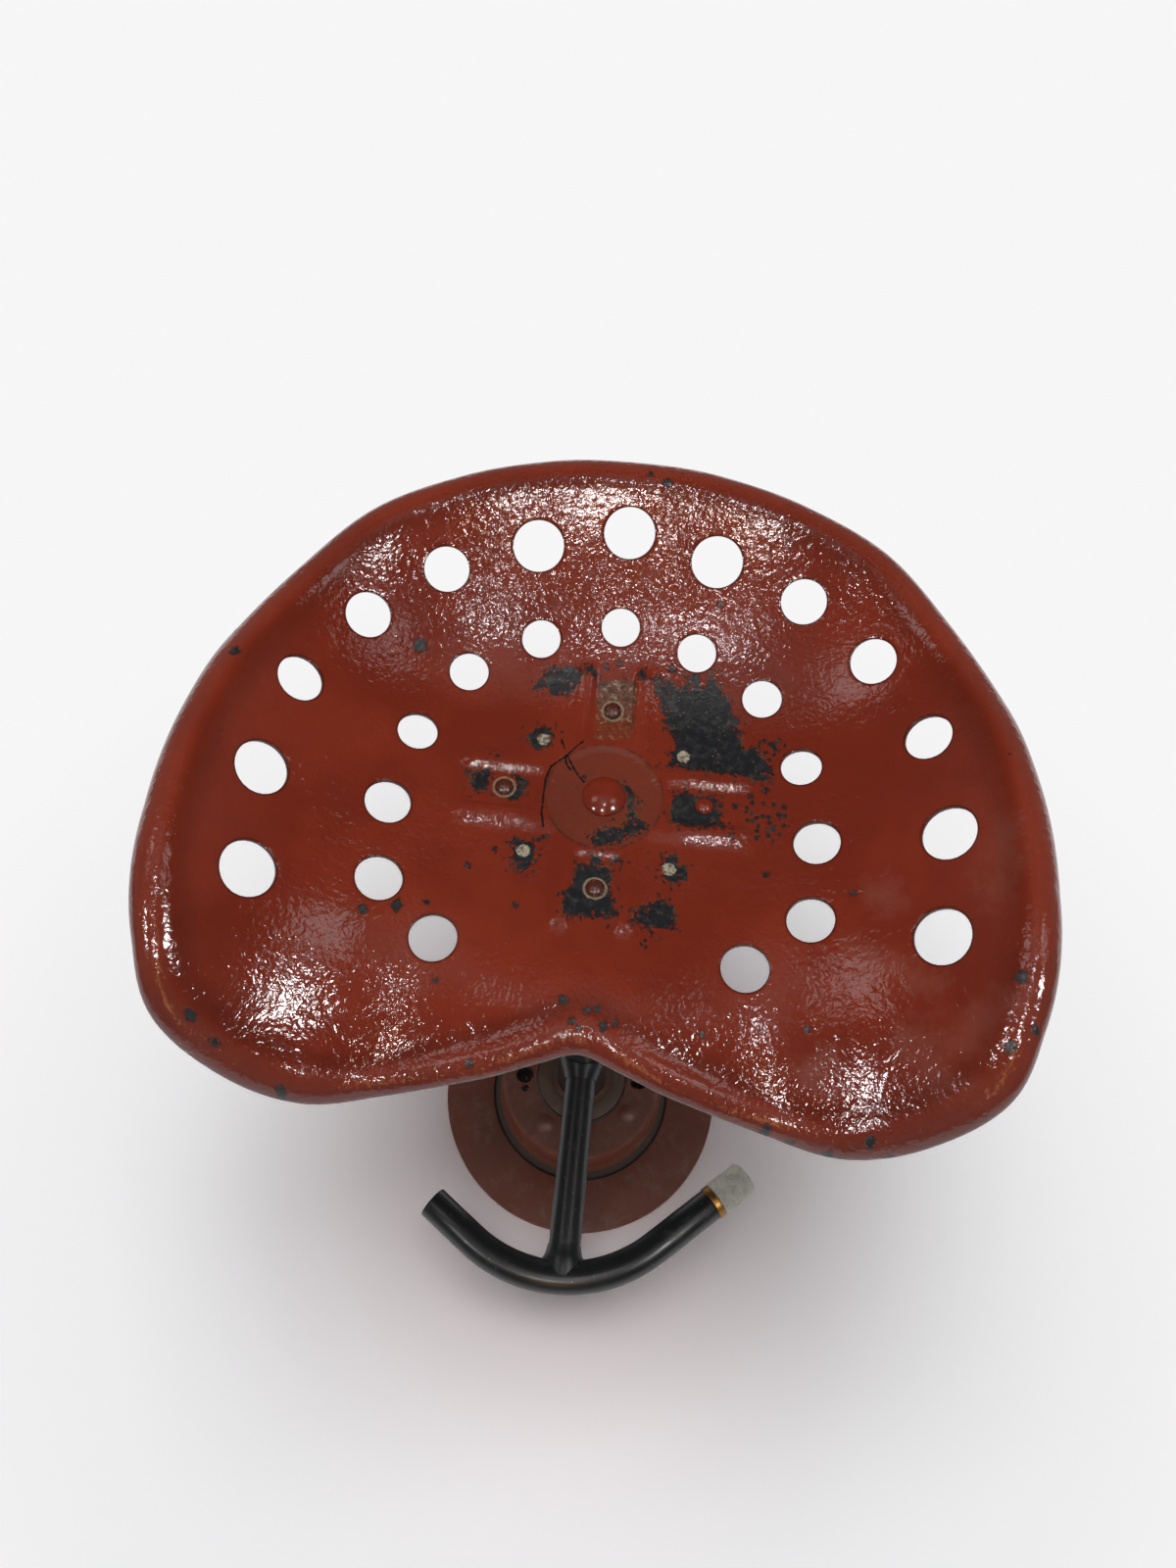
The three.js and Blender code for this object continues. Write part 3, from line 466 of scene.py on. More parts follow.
BARE_PATCHES = [
    [(-48, 63), (-41, 73), (-37, 78), (-29, 79), (-22, 79), (-19, 75), (-22, 69), (-26, 61), (-31, 61),
     (-38, 64), (-43, 65)],
    [(-18, 78), (-14, 80), (-10, 76), (-9, 72), (-14, 74)],
    [(20, 75), (26, 78), (33, 74), (38, 70), (41, 80), (47, 80), (50, 74), (54, 81), (59, 76), (65, 68), (71, 58),
     (73, 47), (76, 38), (82, 40), (86, 33), (93, 22), (90, 18), (81, 18), (71, 20), (57, 20), (46, 22), (33, 23),
     (36, 30), (37, 41), (33, 46), (29, 56), (26, 63), (24, 71)],
    [(11, 75), (14, 80), (18, 75)],
    [(38, 5), (43, 8), (57, 6), (62, 4), (61, 1), (64, -5), (63, -9), (68, -11), (66, -14), (53, -15), (37, -14),
     (37, -6)],
    [(-5, -35), (0, -36), (3, -42), (7, -43), (8, -54), (10, -62), (12, -69), (10, -72), (-2, -71), (-15, -73),
     (-16, -61), (-12, -54), (-11, -43), (-4, -42)],
    [(6, -37), (10, -34), (12, -38), (10, -42)],
    [(8, 10), (13, 7), (18, 2), (17, -6), (18, -12), (23, -13), (23, -17), (16, -23), (8, -28), (0, -30), (-7, -25),
     (-1, -21), (8, -18), (14, -14), (14, -5), (12, 4)],
    [(20, -73), (21, -67), (25, -62), (28, -65), (30, -59), (37, -57), (41, -60), (43, -66), (42, -73), (34, -75)],
    [(33, -38), (35, -34), (41, -30), (43, -36), (48, -37), (47, -43), (43, -47), (35, -45)],
    [(-76, 4), (-72, 9), (-64, 10), (-63, 3), (-64, -3), (-70, -4), (-74, -1)],
    [(-50, 8), (-46, 7), (-42, 3), (-44, -3), (-48, -8), (-53, -8), (-51, -2), (-49, 3)],
    [(-46, 34), (-42, 41), (-34, 40), (-31, 34), (-33, 27), (-40, 26), (-46, 30)],
    [(-47, -31), (-40, -30), (-34, -34), (-33, -42), (-38, -50), (-44, -48), (-46, -40)],
]
OLIVE_PATCH = [(-10, 73), (12, 73), (14, 39), (-8, 36)]
HAZE_PATHS = [  # milky places: points of a path, then its half width
    ([(116, -140), (119, -139)], 9), ([(157, -124), (168, -145)], 10), ([(169, -134), (193, -113)], 8),
    ([(164, -101), (134, -83)], 7), ([(148, -58), (144, -50)], 7), ([(190, -60), (196, -30)], 7),
]
CHIPS = [  # small round losses: x, y, radius
    (-12, 11, 1.2), (32, 83, 2), (89, -39, 1.6), (-6, 81, 1.5), (1, 83, 1.4), (72, 2, 1.4), (-113, 78, 3.6),
    (-116, -83, 2.2), (-100, -77, 3), (-86, -73, 1.6), (-40, -69, 1.5), (-55, -38, 1.3), (-68, -49, 1.4),
    (-75, -113, 1.8), (-53, -151, 1.8), (-181, -151, 2.6), (-171, -159, 2), (-142, -173, 2.4), (-92, -169, 2),
    (132, -50, 1.6), (60, -126, 1.6), (111, -120, 1.5), (197, -104, 2.6), (194, -133, 2.4), (204, -125, 2),
    (11, -129, 2.2), (2, -122, 1.8), (-10, -118, 2.4), (-5, -128, 1.6), (7, -121, 1.7), (16, -127, 1.5),
    (-1, -131, 1.5), (-198, 33, 2.6), (56, 118, 1.6), (19, 171, 2.2), (9, 175, 1.8), (95, -166, 2.2),
    (107, -171, 2.4), (125, -175, 2.2), (143, -169, 2.4), (153, -176, 2.6), (-208, 60, 2.2), (-206, 52, 1.8),
    (88, 12, 1.8), (80, 8, 1.4), (70, -18, 1.6), (98, 2, 1.4),
]
SPECKLED = [(88, -7, 15), (89, 38, 11), (30, -82, 8), (-62, 18, 7), (60, -2, 9), (-30, -30, 6)]
CRACKS = [
    [(-15, 33), (-23, 24), (-31, 15), (-33, 7), (-33, -4), (-33, -13), (-31, -22)],
    [(-27, 34), (-24, 26), (-23, 19), (-20, 15)],
    [(-23, 24), (-17, 14), (-12, 8)],
]


def line_distance(x, y, start, end):
    """Distance in mm to a straight line between two points."""
    run_x, run_y = end[0] - start[0], end[1] - start[1]
    past_x, past_y = x - start[0], y - start[1]
    along = np.clip((past_x * run_x + past_y * run_y) / (run_x ** 2 + run_y ** 2), 0, 1)
    return np.hypot(past_x - along * run_x, past_y - along * run_y)


def outline_distance(x, y, corners):
    """Distance in mm to a closed outline, above zero inside it."""
    sides = list(zip(corners, corners[1:] + corners[:1]))
    nearest = np.min([line_distance(x, y, *side) for side in sides], axis=0)
    inside = np.zeros(x.shape, bool)
    for (ax, ay), (bx, by) in sides:
        if ay != by:
            inside ^= ((ay > y) != (by > y)) & (x < (bx - ax) * (y - ay) / (by - ay) + ax)
    return np.where(inside, nearest, -nearest)


def path_distance(x, y, points, half_width):
    """Distance in mm into a band along a path, above zero inside it."""
    return half_width - np.min([line_distance(x, y, *ends) for ends in zip(points, points[1:])], axis=0)


def most(fields):
    """The highest of several distance fields, held within bounds so that it bakes well."""
    return np.clip(np.max(np.stack(fields), axis=0), -MARK_DEPTH, MARK_DEPTH)


def add_marks(piece, sheet):
    """Writes the sheet's marks as attributes in mm, above zero where they hold."""
    mesh = piece.data
    count = len(mesh.vertices)
    places = np.empty(count * 3, np.float32)
    mesh.vertices.foreach_get("co", places)
    places = places.reshape(-1, 3) / MM
    x, y = places[:, 0] - AXIS.x / MM, places[:, 1] - AXIS.y / MM
    turn, out = np.arctan2(y, x), np.hypot(x, y)
    to_edge = sheet.reach(turn) / MM - out
    over = places[:, 2] - SEAT_LEVEL / MM
    pierced = np.full(count, float(MARK_DEPTH))
    for radius, hole_x, hole_y in hole_places(sheet.sizes.half_width):
        centre = (sheet.point(hole_x, hole_y) + Vector((AXIS.x, AXIS.y, SEAT_LEVEL))) / MM
        pierced = np.minimum(pierced, np.linalg.norm(places - np.array(centre), axis=1) - radius / MM)
    fields = {
        "bare": most([outline_distance(x, y, patch) for patch in BARE_PATCHES]),
        "olive": most([outline_distance(x, y, OLIVE_PATCH)]),
        "haze": most([path_distance(x, y, points, half) for points, half in HAZE_PATHS]),
        "speckled": most([radius - np.hypot(x - px, y - py) for px, py, radius in SPECKLED]),
        "edge": to_edge.clip(-5, 60),
        "pierced": pierced.clip(-5, MARK_DEPTH),
        "top": over - sheet.height(x * MM, y * MM) / MM,
    }
    for name, values in fields.items():
        layer = mesh.attributes.new(name, "FLOAT", "POINT")
        layer.data.foreach_set("value", np.asarray(values, np.float32))


def sheet_grid(sizes, sheet):
    """A grid laid over the sheet: even in the middle, and drawn out to the outline further out."""
    cells = sizes.cells
    begin()
    bpy.ops.mesh.primitive_grid_add(x_subdivisions=cells, y_subdivisions=cells, size=cells, location=(0, 0, 0))
    piece = bpy.context.object
    mesh = piece.data
    places = np.empty(len(mesh.vertices) * 3, np.float32)
    mesh.vertices.foreach_get("co", places)
    places = places.reshape(-1, 3)
    u, v = np.rint(places[:, 0]), np.rint(places[:, 1])
    half = cells // 2
    inner, rim_rows = round(half * GRID_MIDDLE_SHARE), round(half * GRID_RIM_SHARE)
    row = np.maximum(np.abs(u), np.abs(v))
    turn = np.arctan2(v, u)
    reach = sheet.reach(turn)
    fold = reach - sheet.rim_width - 1 * MM
    wall_share = np.clip((row - inner) / (half - rim_rows - inner), 0, 1)
    rim_share = np.clip((row - half + rim_rows) / rim_rows, 0, 1)
    radius = fold + (reach - fold) * (1 - (1 - rim_share) ** GRID_RIM_POWER)

    def drawn(cell, way):
        square = cell / np.maximum(row, 1) * GRID_MIDDLE
        wall = square + (fold * way - square) * wall_share
        return np.where(row <= inner, cell * GRID_MIDDLE / inner, np.where(row > half - rim_rows, radius * way, wall))

    x, y = drawn(u, np.cos(turn)), drawn(v, np.sin(turn))
    places[:, 0], places[:, 1], places[:, 2] = x, y, sheet.height(x, y)
    mesh.vertices.foreach_set("co", places.ravel())
    mesh.update()
    return piece


def open_hole(piece, sheet, radius, x, y):
    """Takes the sheet away round a hole and bridges it to a neat circle, held above it and then laid on it."""
    across, back, up = sheet.facing(x, y)
    centre = sheet.point(x, y)
    mesh = bmesh.from_edit_mesh(piece.data)
    for face in mesh.faces:
        face.select = any((vertex.co - centre).length < radius + 1 * MM for vertex in face.verts)
    bmesh.update_edit_mesh(piece.data)
    bpy.ops.mesh.delete(type="FACE")
    bpy.ops.mesh.select_all(action="DESELECT")
    mesh = bmesh.from_edit_mesh(piece.data)
    reach = radius * 1.6 + 4 * MM  # from the centre, and short of the next hole
    rim = {vertex for edge in mesh.edges if edge.is_boundary and (edge.verts[0].co - centre).length < reach
           for vertex in edge.verts}
    ways = [vertex.co - centre for vertex in rim]
    turns = sorted(math.atan2(way.dot(back), way.dot(across)) for way in ways)
    sides = len(turns)
    start = sum(turn - 2 * math.pi * i / sides for i, turn in enumerate(turns)) / sides
    bpy.ops.mesh.primitive_circle_add(vertices=sides, radius=radius)
    mesh = bmesh.from_edit_mesh(piece.data)
    circle = [vertex for vertex in mesh.verts if vertex.select]
    for i, vertex in enumerate(circle):
        turn = (1 - HOLE_EVENNESS) * turns[i] + HOLE_EVENNESS * (start + 2 * math.pi * i / sides)
        wanted = across * radius * math.cos(turn) + back * radius * math.sin(turn)
        at = Vector((centre.x + wanted.x, centre.y + wanted.y, 0))
        for _ in range(3):
            miss = wanted - (sheet.point(at.x, at.y) - centre)
            miss -= up * miss.dot(up)
            at += Vector((miss.x, miss.y, 0))
        vertex.co = sheet.point(at.x, at.y) + up * HOLE_LIFT
    for edge in mesh.edges:
        if edge.is_boundary and not edge.select:
            edge.select = (edge.verts[0].co - centre).length < reach
    bmesh.update_edit_mesh(piece.data)
    bpy.ops.mesh.bridge_edge_loops()
    bpy.ops.mesh.select_all(action="DESELECT")
    mesh = bmesh.from_edit_mesh(piece.data)
    for vertex in mesh.verts:
        if vertex.is_boundary and (vertex.co - centre - up * HOLE_LIFT).length < radius + 3 * MM:
            vertex.co -= up * HOLE_LIFT
    bmesh.update_edit_mesh(piece.data)


# Nodes

class Value:
    """A node's output. Sums, products and comparisons of it are nodes too, and | is the higher of two."""

    def __init__(self, nodes, socket):
        self.nodes, self.socket = nodes, socket

    def also(self, name):
        """Another output of the same node."""
        return Value(self.nodes, self.socket.node.outputs[name])

    def step(self, low, high):
        """0 at low and 1 at high, with a soft step between them."""
        inputs = {"Value": self, "From Min": low, "From Max": high}
        return self.nodes.put("ShaderNodeMapRange", inputs, "Result", interpolation_type="SMOOTHSTEP")

    def spread(self, low, high):
        """Spreads a value of 0 to 1 between two others."""
        return self.nodes.put("ShaderNodeMapRange", {"Value": self, "To Min": low, "To Max": high}, "Result")

    def __rsub__(self, other):
        return self.nodes.maths("SUBTRACT", other, self)

    def __abs__(self):
        return self.nodes.maths("ABSOLUTE", self, 0.0)


for sign, operation in (("add", "ADD"), ("sub", "SUBTRACT"), ("mul", "MULTIPLY"), ("truediv", "DIVIDE"),
                        ("or", "MAXIMUM"), ("gt", "GREATER_THAN"), ("lt", "LESS_THAN")):
    setattr(Value, f"__{sign}__", lambda value, other, kind=operation: value.nodes.maths(kind, value, other))


class Nodes:
    """Adds nodes to a tree, each as the value that it gives. Textures lie on self.where."""

    def __init__(self, tree):
        self.tree = tree

    def set(self, socket, value):
        if isinstance(value, Value):
            self.tree.links.new(value.socket, socket)
        else:
            socket.default_value = (*value[:3], 1) if socket.type == "RGBA" else value

    def put(self, kind, inputs=None, output=0, **settings):
        node = self.tree.nodes.new(kind)
        for key, value in settings.items():
            setattr(node, key, value)
        for key, value in (inputs or {}).items():
            self.set(node.inputs[key], value)
        return Value(self, node.outputs[output])

    def maths(self, operation, first, second, clamp=False):
        return self.put("ShaderNodeMath", {0: first, 1: second}, operation=operation, use_clamp=clamp)

    def vector(self, operation, first, second=(0, 0, 0), output="Value"):
        return self.put("ShaderNodeVectorMath", {0: first, 1: second}, output, operation=operation)

    def part(self, vector, axis):
        return self.put("ShaderNodeSeparateXYZ", {"Vector": vector}, axis)

    def mix(self, share, low, high):
        return self.put("ShaderNodeMix", {0: share, 6: low, 7: high}, 2, data_type="RGBA")

    def noise(self, scale, detail=2, roughness=0.5, distortion=0, where=None):
        inputs = {"Vector": where or self.where, "Scale": scale, "Detail": detail, "Roughness": roughness,
                  "Distortion": distortion}
        return self.put("ShaderNodeTexNoise", inputs, "Fac")

    def cells(self, scale, **settings):
        return self.put("ShaderNodeTexVoronoi", {"Vector": self.where, "Scale": scale}, "Distance", **settings)

    def attribute(self, name):
        return self.put("ShaderNodeAttribute", output="Fac", attribute_name=name)

    def from_axis(self):
        """The surface's place from the column's axis, in mm, flattened to the plan."""
        inputs = {"Vector": self.where, "Location": (-AXIS.x / MM, -AXIS.y / MM, 0), "Scale": (1 / MM, 1 / MM, 0)}
        return self.put("ShaderNodeMapping", inputs, "Vector", vector_type="POINT")

    def into_spots(self, plan, spots):
        """Distance in mm into the nearest of several round spots, above zero inside one."""
        return reduce(or_, [radius - self.vector("DISTANCE", plan, (x, y, 0)) for x, y, radius in spots])

    def from_lines(self, plan, lines):
        """Distance in mm to the nearest of several bent lines."""
        gaps = []
        for (ax, ay), (bx, by) in [ends for line in lines for ends in zip(line, line[1:])]:
            run = Vector((bx - ax, by - ay, 0))
            past = self.vector("SUBTRACT", plan, (ax, ay, 0), "Vector")
            share = self.maths("ADD", self.vector("DOT_PRODUCT", past, run / run.length_squared), 0, clamp=True)
            foot = self.put("ShaderNodeVectorMath", {0: run, "Scale": share}, "Vector", operation="SCALE")
            gaps.append(self.vector("DISTANCE", past, foot))
        return reduce(lambda near, gap: self.maths("MINIMUM", near, gap), gaps)


class Effect(Nodes):
    """A shader node group with a place and named numbers going in, built once."""

    def __init__(self, name, numbers, *outputs):
        super().__init__(bpy.data.node_groups.new(name, "ShaderNodeTree"))
        new_socket = self.tree.interface.new_socket
        new_socket("Vector", in_out="INPUT", socket_type="NodeSocketVector")
        for key, default in numbers.items():
            new_socket(key, in_out="INPUT", socket_type="NodeSocketFloat").default_value = default
        for key in outputs:
            new_socket(key, in_out="OUTPUT", socket_type="NodeSocketFloat")
        self.taken = self.tree.nodes.new("NodeGroupInput").outputs
        self.given = self.tree.nodes.new("NodeGroupOutput").inputs
        self.where = self["Vector"]

    def __getitem__(self, name):
        return Value(self, self.taken[name])

    def give(self, name, value):
        self.set(self.given[name], value)


def build_effects():
    """The node groups that more than one material uses."""
    group = Effect("Ragged edge", {"Distance": 0, "Raggedness": 1.5, "Scale": 300}, "Mask", "Lip")
    coarse, fine = group.noise(group["Scale"], 5, 0.68, 0.6), group.noise(group["Scale"] * 3.4, 3, 0.6)
    edge = group["Distance"] + (coarse * 4.2 + fine * 1.5 - 2.85) * group["Raggedness"]
    group.give("Mask", edge.step(-0.12, 0.12))
    group.give("Lip", 1 - abs(edge).step(0.1, 0.6))

    group = Effect("Brushed enamel", {"Lump": 260, "Grain": 900}, "Height")
    lumps = group.noise(group["Lump"], 1.6, 0.5, 0.5)
    folds = abs(group.noise(group["Lump"] * 0.9, 1, 0.5, 0.9) - 0.5)
    calm = group.noise(22).step(0.34, 0.62).spread(0.5, 1.05)
    pits = group.cells(group["Lump"], feature="SMOOTH_F1").step(0.35, 0.02) * group.noise(45).step(0.5, 0.62)
    group.give("Height", (lumps - folds * 0.8) * calm + group.noise(group["Grain"]) * 0.1 - pits * 0.35)

    group = Effect("Specks", {"Scale": 400, "Size": 0.16, "Amount": 0.3}, "Mask")
    near = group.cells(group["Scale"])
    chance = group.put("ShaderNodeSeparateColor", {"Color": near.also("Color")}, "Red")
    group.give("Mask", (near < group["Size"]) * (chance < group["Amount"]))

    group = Effect("Dust", {"Scale": 60, "Amount": 0.5}, "Mask")
    level = group.noise(group["Scale"], 5, 0.65, 0.4) + (group.noise(700, 2, 0.6) - 0.5) * 0.35
    low = 0.95 - group["Amount"] * 0.6
    group.give("Mask", level.step(low - 0.3, low))

    group = Effect("Scratches", {"Scale": 90, "Width": 0.012}, "Mask")
    line = abs(group.noise(group["Scale"], 1, 0.4, 1.2) - 0.5) < group["Width"]
    group.give("Mask", line * group.noise(55).step(0.56, 0.62))


class Finish(Nodes):
    """A material with a Principled shader, whose constant numbers are set on the shader itself."""

    def __init__(self, name, metal=0.0, specular=0.5):
        self.material = bpy.data.materials.new(name)
        self.material.use_nodes = True
        super().__init__(self.material.node_tree)
        self.shader = self.tree.nodes["Principled BSDF"]
        self.shader.inputs["Metallic"].default_value = metal
        self.shader.inputs["Specular IOR Level"].default_value = specular
        self.where = self.put("ShaderNodeTexCoord", output="Object")

    def start(self, share, low, high):
        self.base = self.mix(share, low, high)

    def lay(self, share, colour):
        """Lays a colour over what is there, by a share."""
        self.base = self.mix(share, self.base, colour)

    def use(self, effect, **numbers):
        """Places an effect with this material's own numbers, and gives its first output."""
        return self.put("ShaderNodeGroup", {"Vector": self.where, **numbers}, node_tree=bpy.data.node_groups[effect])

    def finish(self, roughness, height=None, depth=0.0, metal=None):
        """Links what was worked out to the shader, with the height through a bump of a depth."""
        normal = height and self.put("ShaderNodeBump", {"Height": height, "Distance": depth, "Strength": 1}, "Normal")
        for name, value in (("Base Color", self.base), ("Roughness", roughness), ("Metallic", metal),
                            ("Normal", normal)):
            if value is not None:
                self.set(self.shader.inputs[name], value)
        return self.material


def times(tint, share):
    return [c * share for c in tint]


# Colours of wear, of a paler crest and of painted shade in the disc's groove, in linear light

MILKY, CREST_PALER = [0.185, 0.05, 0.034], [0.19, 0.05, 0.034]
POCKET, POCKET_LINE = [0.105, 0.036, 0.022], [0.035, 0.016, 0.011]
STAINS = [0.035, 0.024, 0.014], [0.10, 0.036, 0.016], [0.22, 0.165, 0.10]
WORN_UNDERCOAT, UNDERCOAT_RUST, UNDERCOAT_STREAK = [0.030, 0.029, 0.028], [0.10, 0.045, 0.025], [0.09, 0.062, 0.042]
BROWN_LIP, CRACK = [0.17, 0.10, 0.06], [0.008, 0.007, 0.006]
SPOT_WELD = [0.09, 0.065, 0.045], [0.40, 0.345, 0.25]
RIVET_RING = [0.05, 0.03, 0.02], [0.36, 0.27, 0.17]
RIVET_WEAR = [0.16, 0.11, 0.075]
POST_DUST, POST_SPECK, POST_SCRATCH = [0.075, 0.068, 0.056], [0.12, 0.085, 0.06], [0.1, 0.1, 0.1]
FOOT_RUST = [0.03, 0.014, 0.008], [0.13, 0.05, 0.02]
DISC_DUST, DISC_SCRATCH, GROOVE_PAINTED_SHADE = [0.36, 0.24, 0.19], [0.16, 0.06, 0.04], [0.012, 0.009, 0.008]
TURNED_BAND = [0.045, 0.030, 0.022], [0.15, 0.112, 0.085]
RUST, CAP_DIRT = [0.13, 0.05, 0.022], [0.14, 0.12, 0.09]


def seat_enamel(finishes):
    """Thick red enamel, brushed over pitted steel, with its losses, haze, cracks and chips."""
    look = Finish("Seat enamel")
    plan = look.from_axis()
    top = look.attribute("top").step(-1.6, -0.9)
    red = finishes.enamel
    deep = times(red, 0.84)
    look.start(look.noise(14, 3, 0.6).step(0.35, 0.68), deep, [red[0] * 1.08, red[1] * 1.15, red[2] * 1.1])
    look.lay(look.noise(120, 3, 0.6).step(0.5, 0.8) * 0.3, deep)

    cloudy = (look.noise(90, 5, 0.7) - 0.5) * 34
    hazed = (look.attribute("haze") + cloudy).step(-6, 9) * (top * 0.45)
    look.lay(hazed, MILKY)

    edge = look.attribute("edge")  # the rim's crest is paler; the groove inside it and the rims of the holes are darkened: painted shade
    look.lay(edge.step(3, 7) * edge.step(19, 13) * 0.25, CREST_PALER)
    groove = edge.step(16, 22) * edge.step(34, 24)
    # Painted shade: a darker band in the groove inside the rim and a dark line round each hole's rim.
    look.lay(groove * 0.32 | look.attribute("pierced").step(1.7, 0.5) * 0.75, times(red, 0.28))

    out = look.vector("LENGTH", plan)
    cloud = look.noise(260, 5, 0.7)
    look.lay(out.step(33, 31) * cloud.spread(0.1, 0.75) * top, POCKET)
    look.lay(abs(out - 32.2).step(1, 0.3) * top * cloud.step(0.40, 0.58) * 0.7, POCKET_LINE)

    olive = look.use("Ragged edge", Distance=look.attribute("olive"), Raggedness=2.2, Scale=170)
    olive = olive * top * look.part(plan, "Y").step(40, 64).spread(0.45, 0.9)
    mottle = look.noise(300, 6, 0.72, 0.5)
    stain = look.mix(mottle.step(0.42, 0.50), STAINS[0], STAINS[1])
    look.lay(olive, look.mix(mottle.step(0.555, 0.60), stain, STAINS[2]))

    bare_in = look.attribute("bare")
    bare = look.use("Ragged edge", Distance=bare_in, Raggedness=3.3, Scale=250)
    kept = look.use("Specks", Scale=390, Size=0.42, Amount=bare_in.step(8, 0) * 0.26)
    crumbs = look.use("Specks", Scale=480, Size=0.44, Amount=bare_in.step(-7, -1) * 0.3)
    chips = look.use("Ragged edge", Distance=look.into_spots(plan, CHIPS), Raggedness=2, Scale=520)
    specks = look.use("Specks", Scale=360, Size=0.5, Amount=look.attribute("speckled").step(-1, 6) * 0.55)
    stray = look.use("Specks", Scale=150, Size=0.10, Amount=0.035)
    edge_wear = look.use("Ragged edge", Distance=-2.2 - edge, Raggedness=3.6, Scale=160)
    lost = (bare * (1 - kept) | crumbs | chips | specks) * top | stray | edge_wear

    dark = look.mix(look.noise(240, 3, 0.6).step(0.45, 0.75), finishes.undercoat, WORN_UNDERCOAT)
    dark = look.mix(look.use("Specks", Scale=620, Size=0.34, Amount=0.07), dark, UNDERCOAT_RUST)
    dark = look.mix(look.noise(190, 6, 0.75, 0.8).step(0.60, 0.68) * 0.5, dark, UNDERCOAT_STREAK)
    look.lay(lost, dark)
    look.lay(bare.also("Lip") * top * look.noise(75, 3).step(0.48, 0.6) * 0.6, BROWN_LIP)

    nugget_in = look.into_spots(plan, [(x, y, NUGGET_RADIUS) for x, y in NUGGETS])
    nugget = look.use("Ragged edge", Distance=nugget_in, Raggedness=0.9, Scale=600) * top
    look.lay(nugget, look.mix(look.noise(520, 4, 0.7).step(0.36, 0.6), *SPOT_WELD))
    ring_in = look.into_spots(plan, RIVET_RINGS)
    ring = look.use("Ragged edge", Distance=ring_in, Raggedness=0.5, Scale=500) * top * 0.8
    look.lay(ring, look.mix(look.noise(700, 3, 0.6), *RIVET_RING))

    wobble = (look.noise(500) - 0.5) * 1.4
    crack = (look.from_lines(plan, CRACKS) + wobble).step(0.62, 0.34) * look.noise(120).step(0.34, 0.42) * top
    look.lay(crack, CRACK)

    roughness = look.noise(60, 3, 0.6).spread(0.07, 0.17) + hazed * 0.16 + lost * 0.2 + olive * 0.1
    height = look.use("Brushed enamel", Lump=235, Grain=900) - lost * 0.9 - crack * 1.2
    return look.finish(roughness, height, 0.48 * MM, nugget * 0.2)


def gloss_red(finishes):
    """Fresh red enamel on the seat's bolt and one rivet."""
    look = Finish("Fresh red enamel")
    look.start(look.noise(90, 3), times(finishes.enamel, 0.75), times(finishes.enamel, 1.15))
    look.lay(look.use("Specks", Scale=400, Size=0.2, Amount=0.03), finishes.undercoat)
    return look.finish(look.noise(200).spread(0.12, 0.2), look.use("Brushed enamel", Lump=260, Grain=900), 0.06 * MM)


def rivet_finish(finishes):
    """Old brown enamel worn through to metal round its foot."""
    look = Finish("Old brown enamel")
    look.start(look.noise(320, 4, 0.65), times(finishes.old_enamel, 0.6), times(finishes.old_enamel, 1.25))
    look.lay(look.use("Specks", Scale=700, Size=0.4, Amount=0.12), RIVET_WEAR)
    return look.finish(look.noise(300).spread(0.2, 0.36), look.use("Brushed enamel", Lump=500, Grain=1400), 0.12 * MM)


def post_paint(finishes, name="Black post paint", foot_rust=True):
    """Black gloss paint with faint brushing, dust specks and, at the post's foot, rust."""
    look = Finish(name)
    look.start(look.noise(40, 4, 0.6), times(finishes.black_paint, 0.7), times(finishes.black_paint, 1.5))
    dust = look.use("Dust", Scale=70, Amount=0.22)
    look.lay(dust * 0.35, POST_DUST)
    look.lay(look.use("Specks", Scale=330, Size=0.24, Amount=0.035), POST_SPECK)
    look.lay(look.use("Scratches", Scale=70, Width=0.006) * 0.5, POST_SCRATCH)
    roughness = look.noise(90, 3).spread(0.24, 0.4) + dust * 0.2
    if foot_rust:
        foot = (look.part(look.where, "Z") + look.noise(110, 4) * 0.03).step(0.100, 0.086)
        look.lay(foot, look.mix(look.noise(300, 4), *FOOT_RUST))
        roughness = roughness + foot * 0.3
    return look.finish(roughness, look.use("Brushed enamel", Lump=170, Grain=800), 0.05 * MM)


def disc_paint(finishes, base):
    """Dull red-brown primer with dust, faint scratches and, on the turned band, bare worn steel."""
    look = Finish("Disc oxide paint", specular=0.3)
    oxide = finishes.oxide
    look.start(look.noise(35, 5, 0.6), times(oxide, 0.78), times(oxide, 1.12))
    look.lay(look.noise(400, 3, 0.6) * 0.35, times(oxide, 0.7))
    look.lay(look.use("Dust", Scale=45, Amount=0.35) * 0.3, DISC_DUST)
    look.lay(look.use("Scratches", Scale=28, Width=0.004) * 0.5, DISC_SCRATCH)
    out, up = look.vector("LENGTH", look.from_axis()), look.part(look.where, "Z") / MM
    top, flare = base.ring_thickness / MM, base.flare_radius / MM
    band = (out > (base.hat_radius + base.flare_radius) / 2 / MM) * (out < flare + 1) * (up > top + 1.2)
    look.lay(band * look.noise(160, 5, 0.7).step(0.28, 0.44), look.mix(look.noise(260, 5, 0.7), *TURNED_BAND))
    # The groove is painted near black: painted shade.
    groove = (up < top - 0.4) * (out < flare + base.groove / MM + 0.4) * (out > flare - 0.6)
    look.lay(groove, GROOVE_PAINTED_SHADE)
    turning = look.noise(1.6, 3, where=look.put("ShaderNodeCombineXYZ", {"X": out}, "Vector"))
    look.lay((up < top + 0.5) * (turning.step(0.45, 0.7) * 0.18), times(oxide, 1.25))
    return look.finish(look.noise(50, 3).spread(0.5, 0.72), look.noise(420, 4, 0.6) + turning * 0.3, 0.12 * MM)


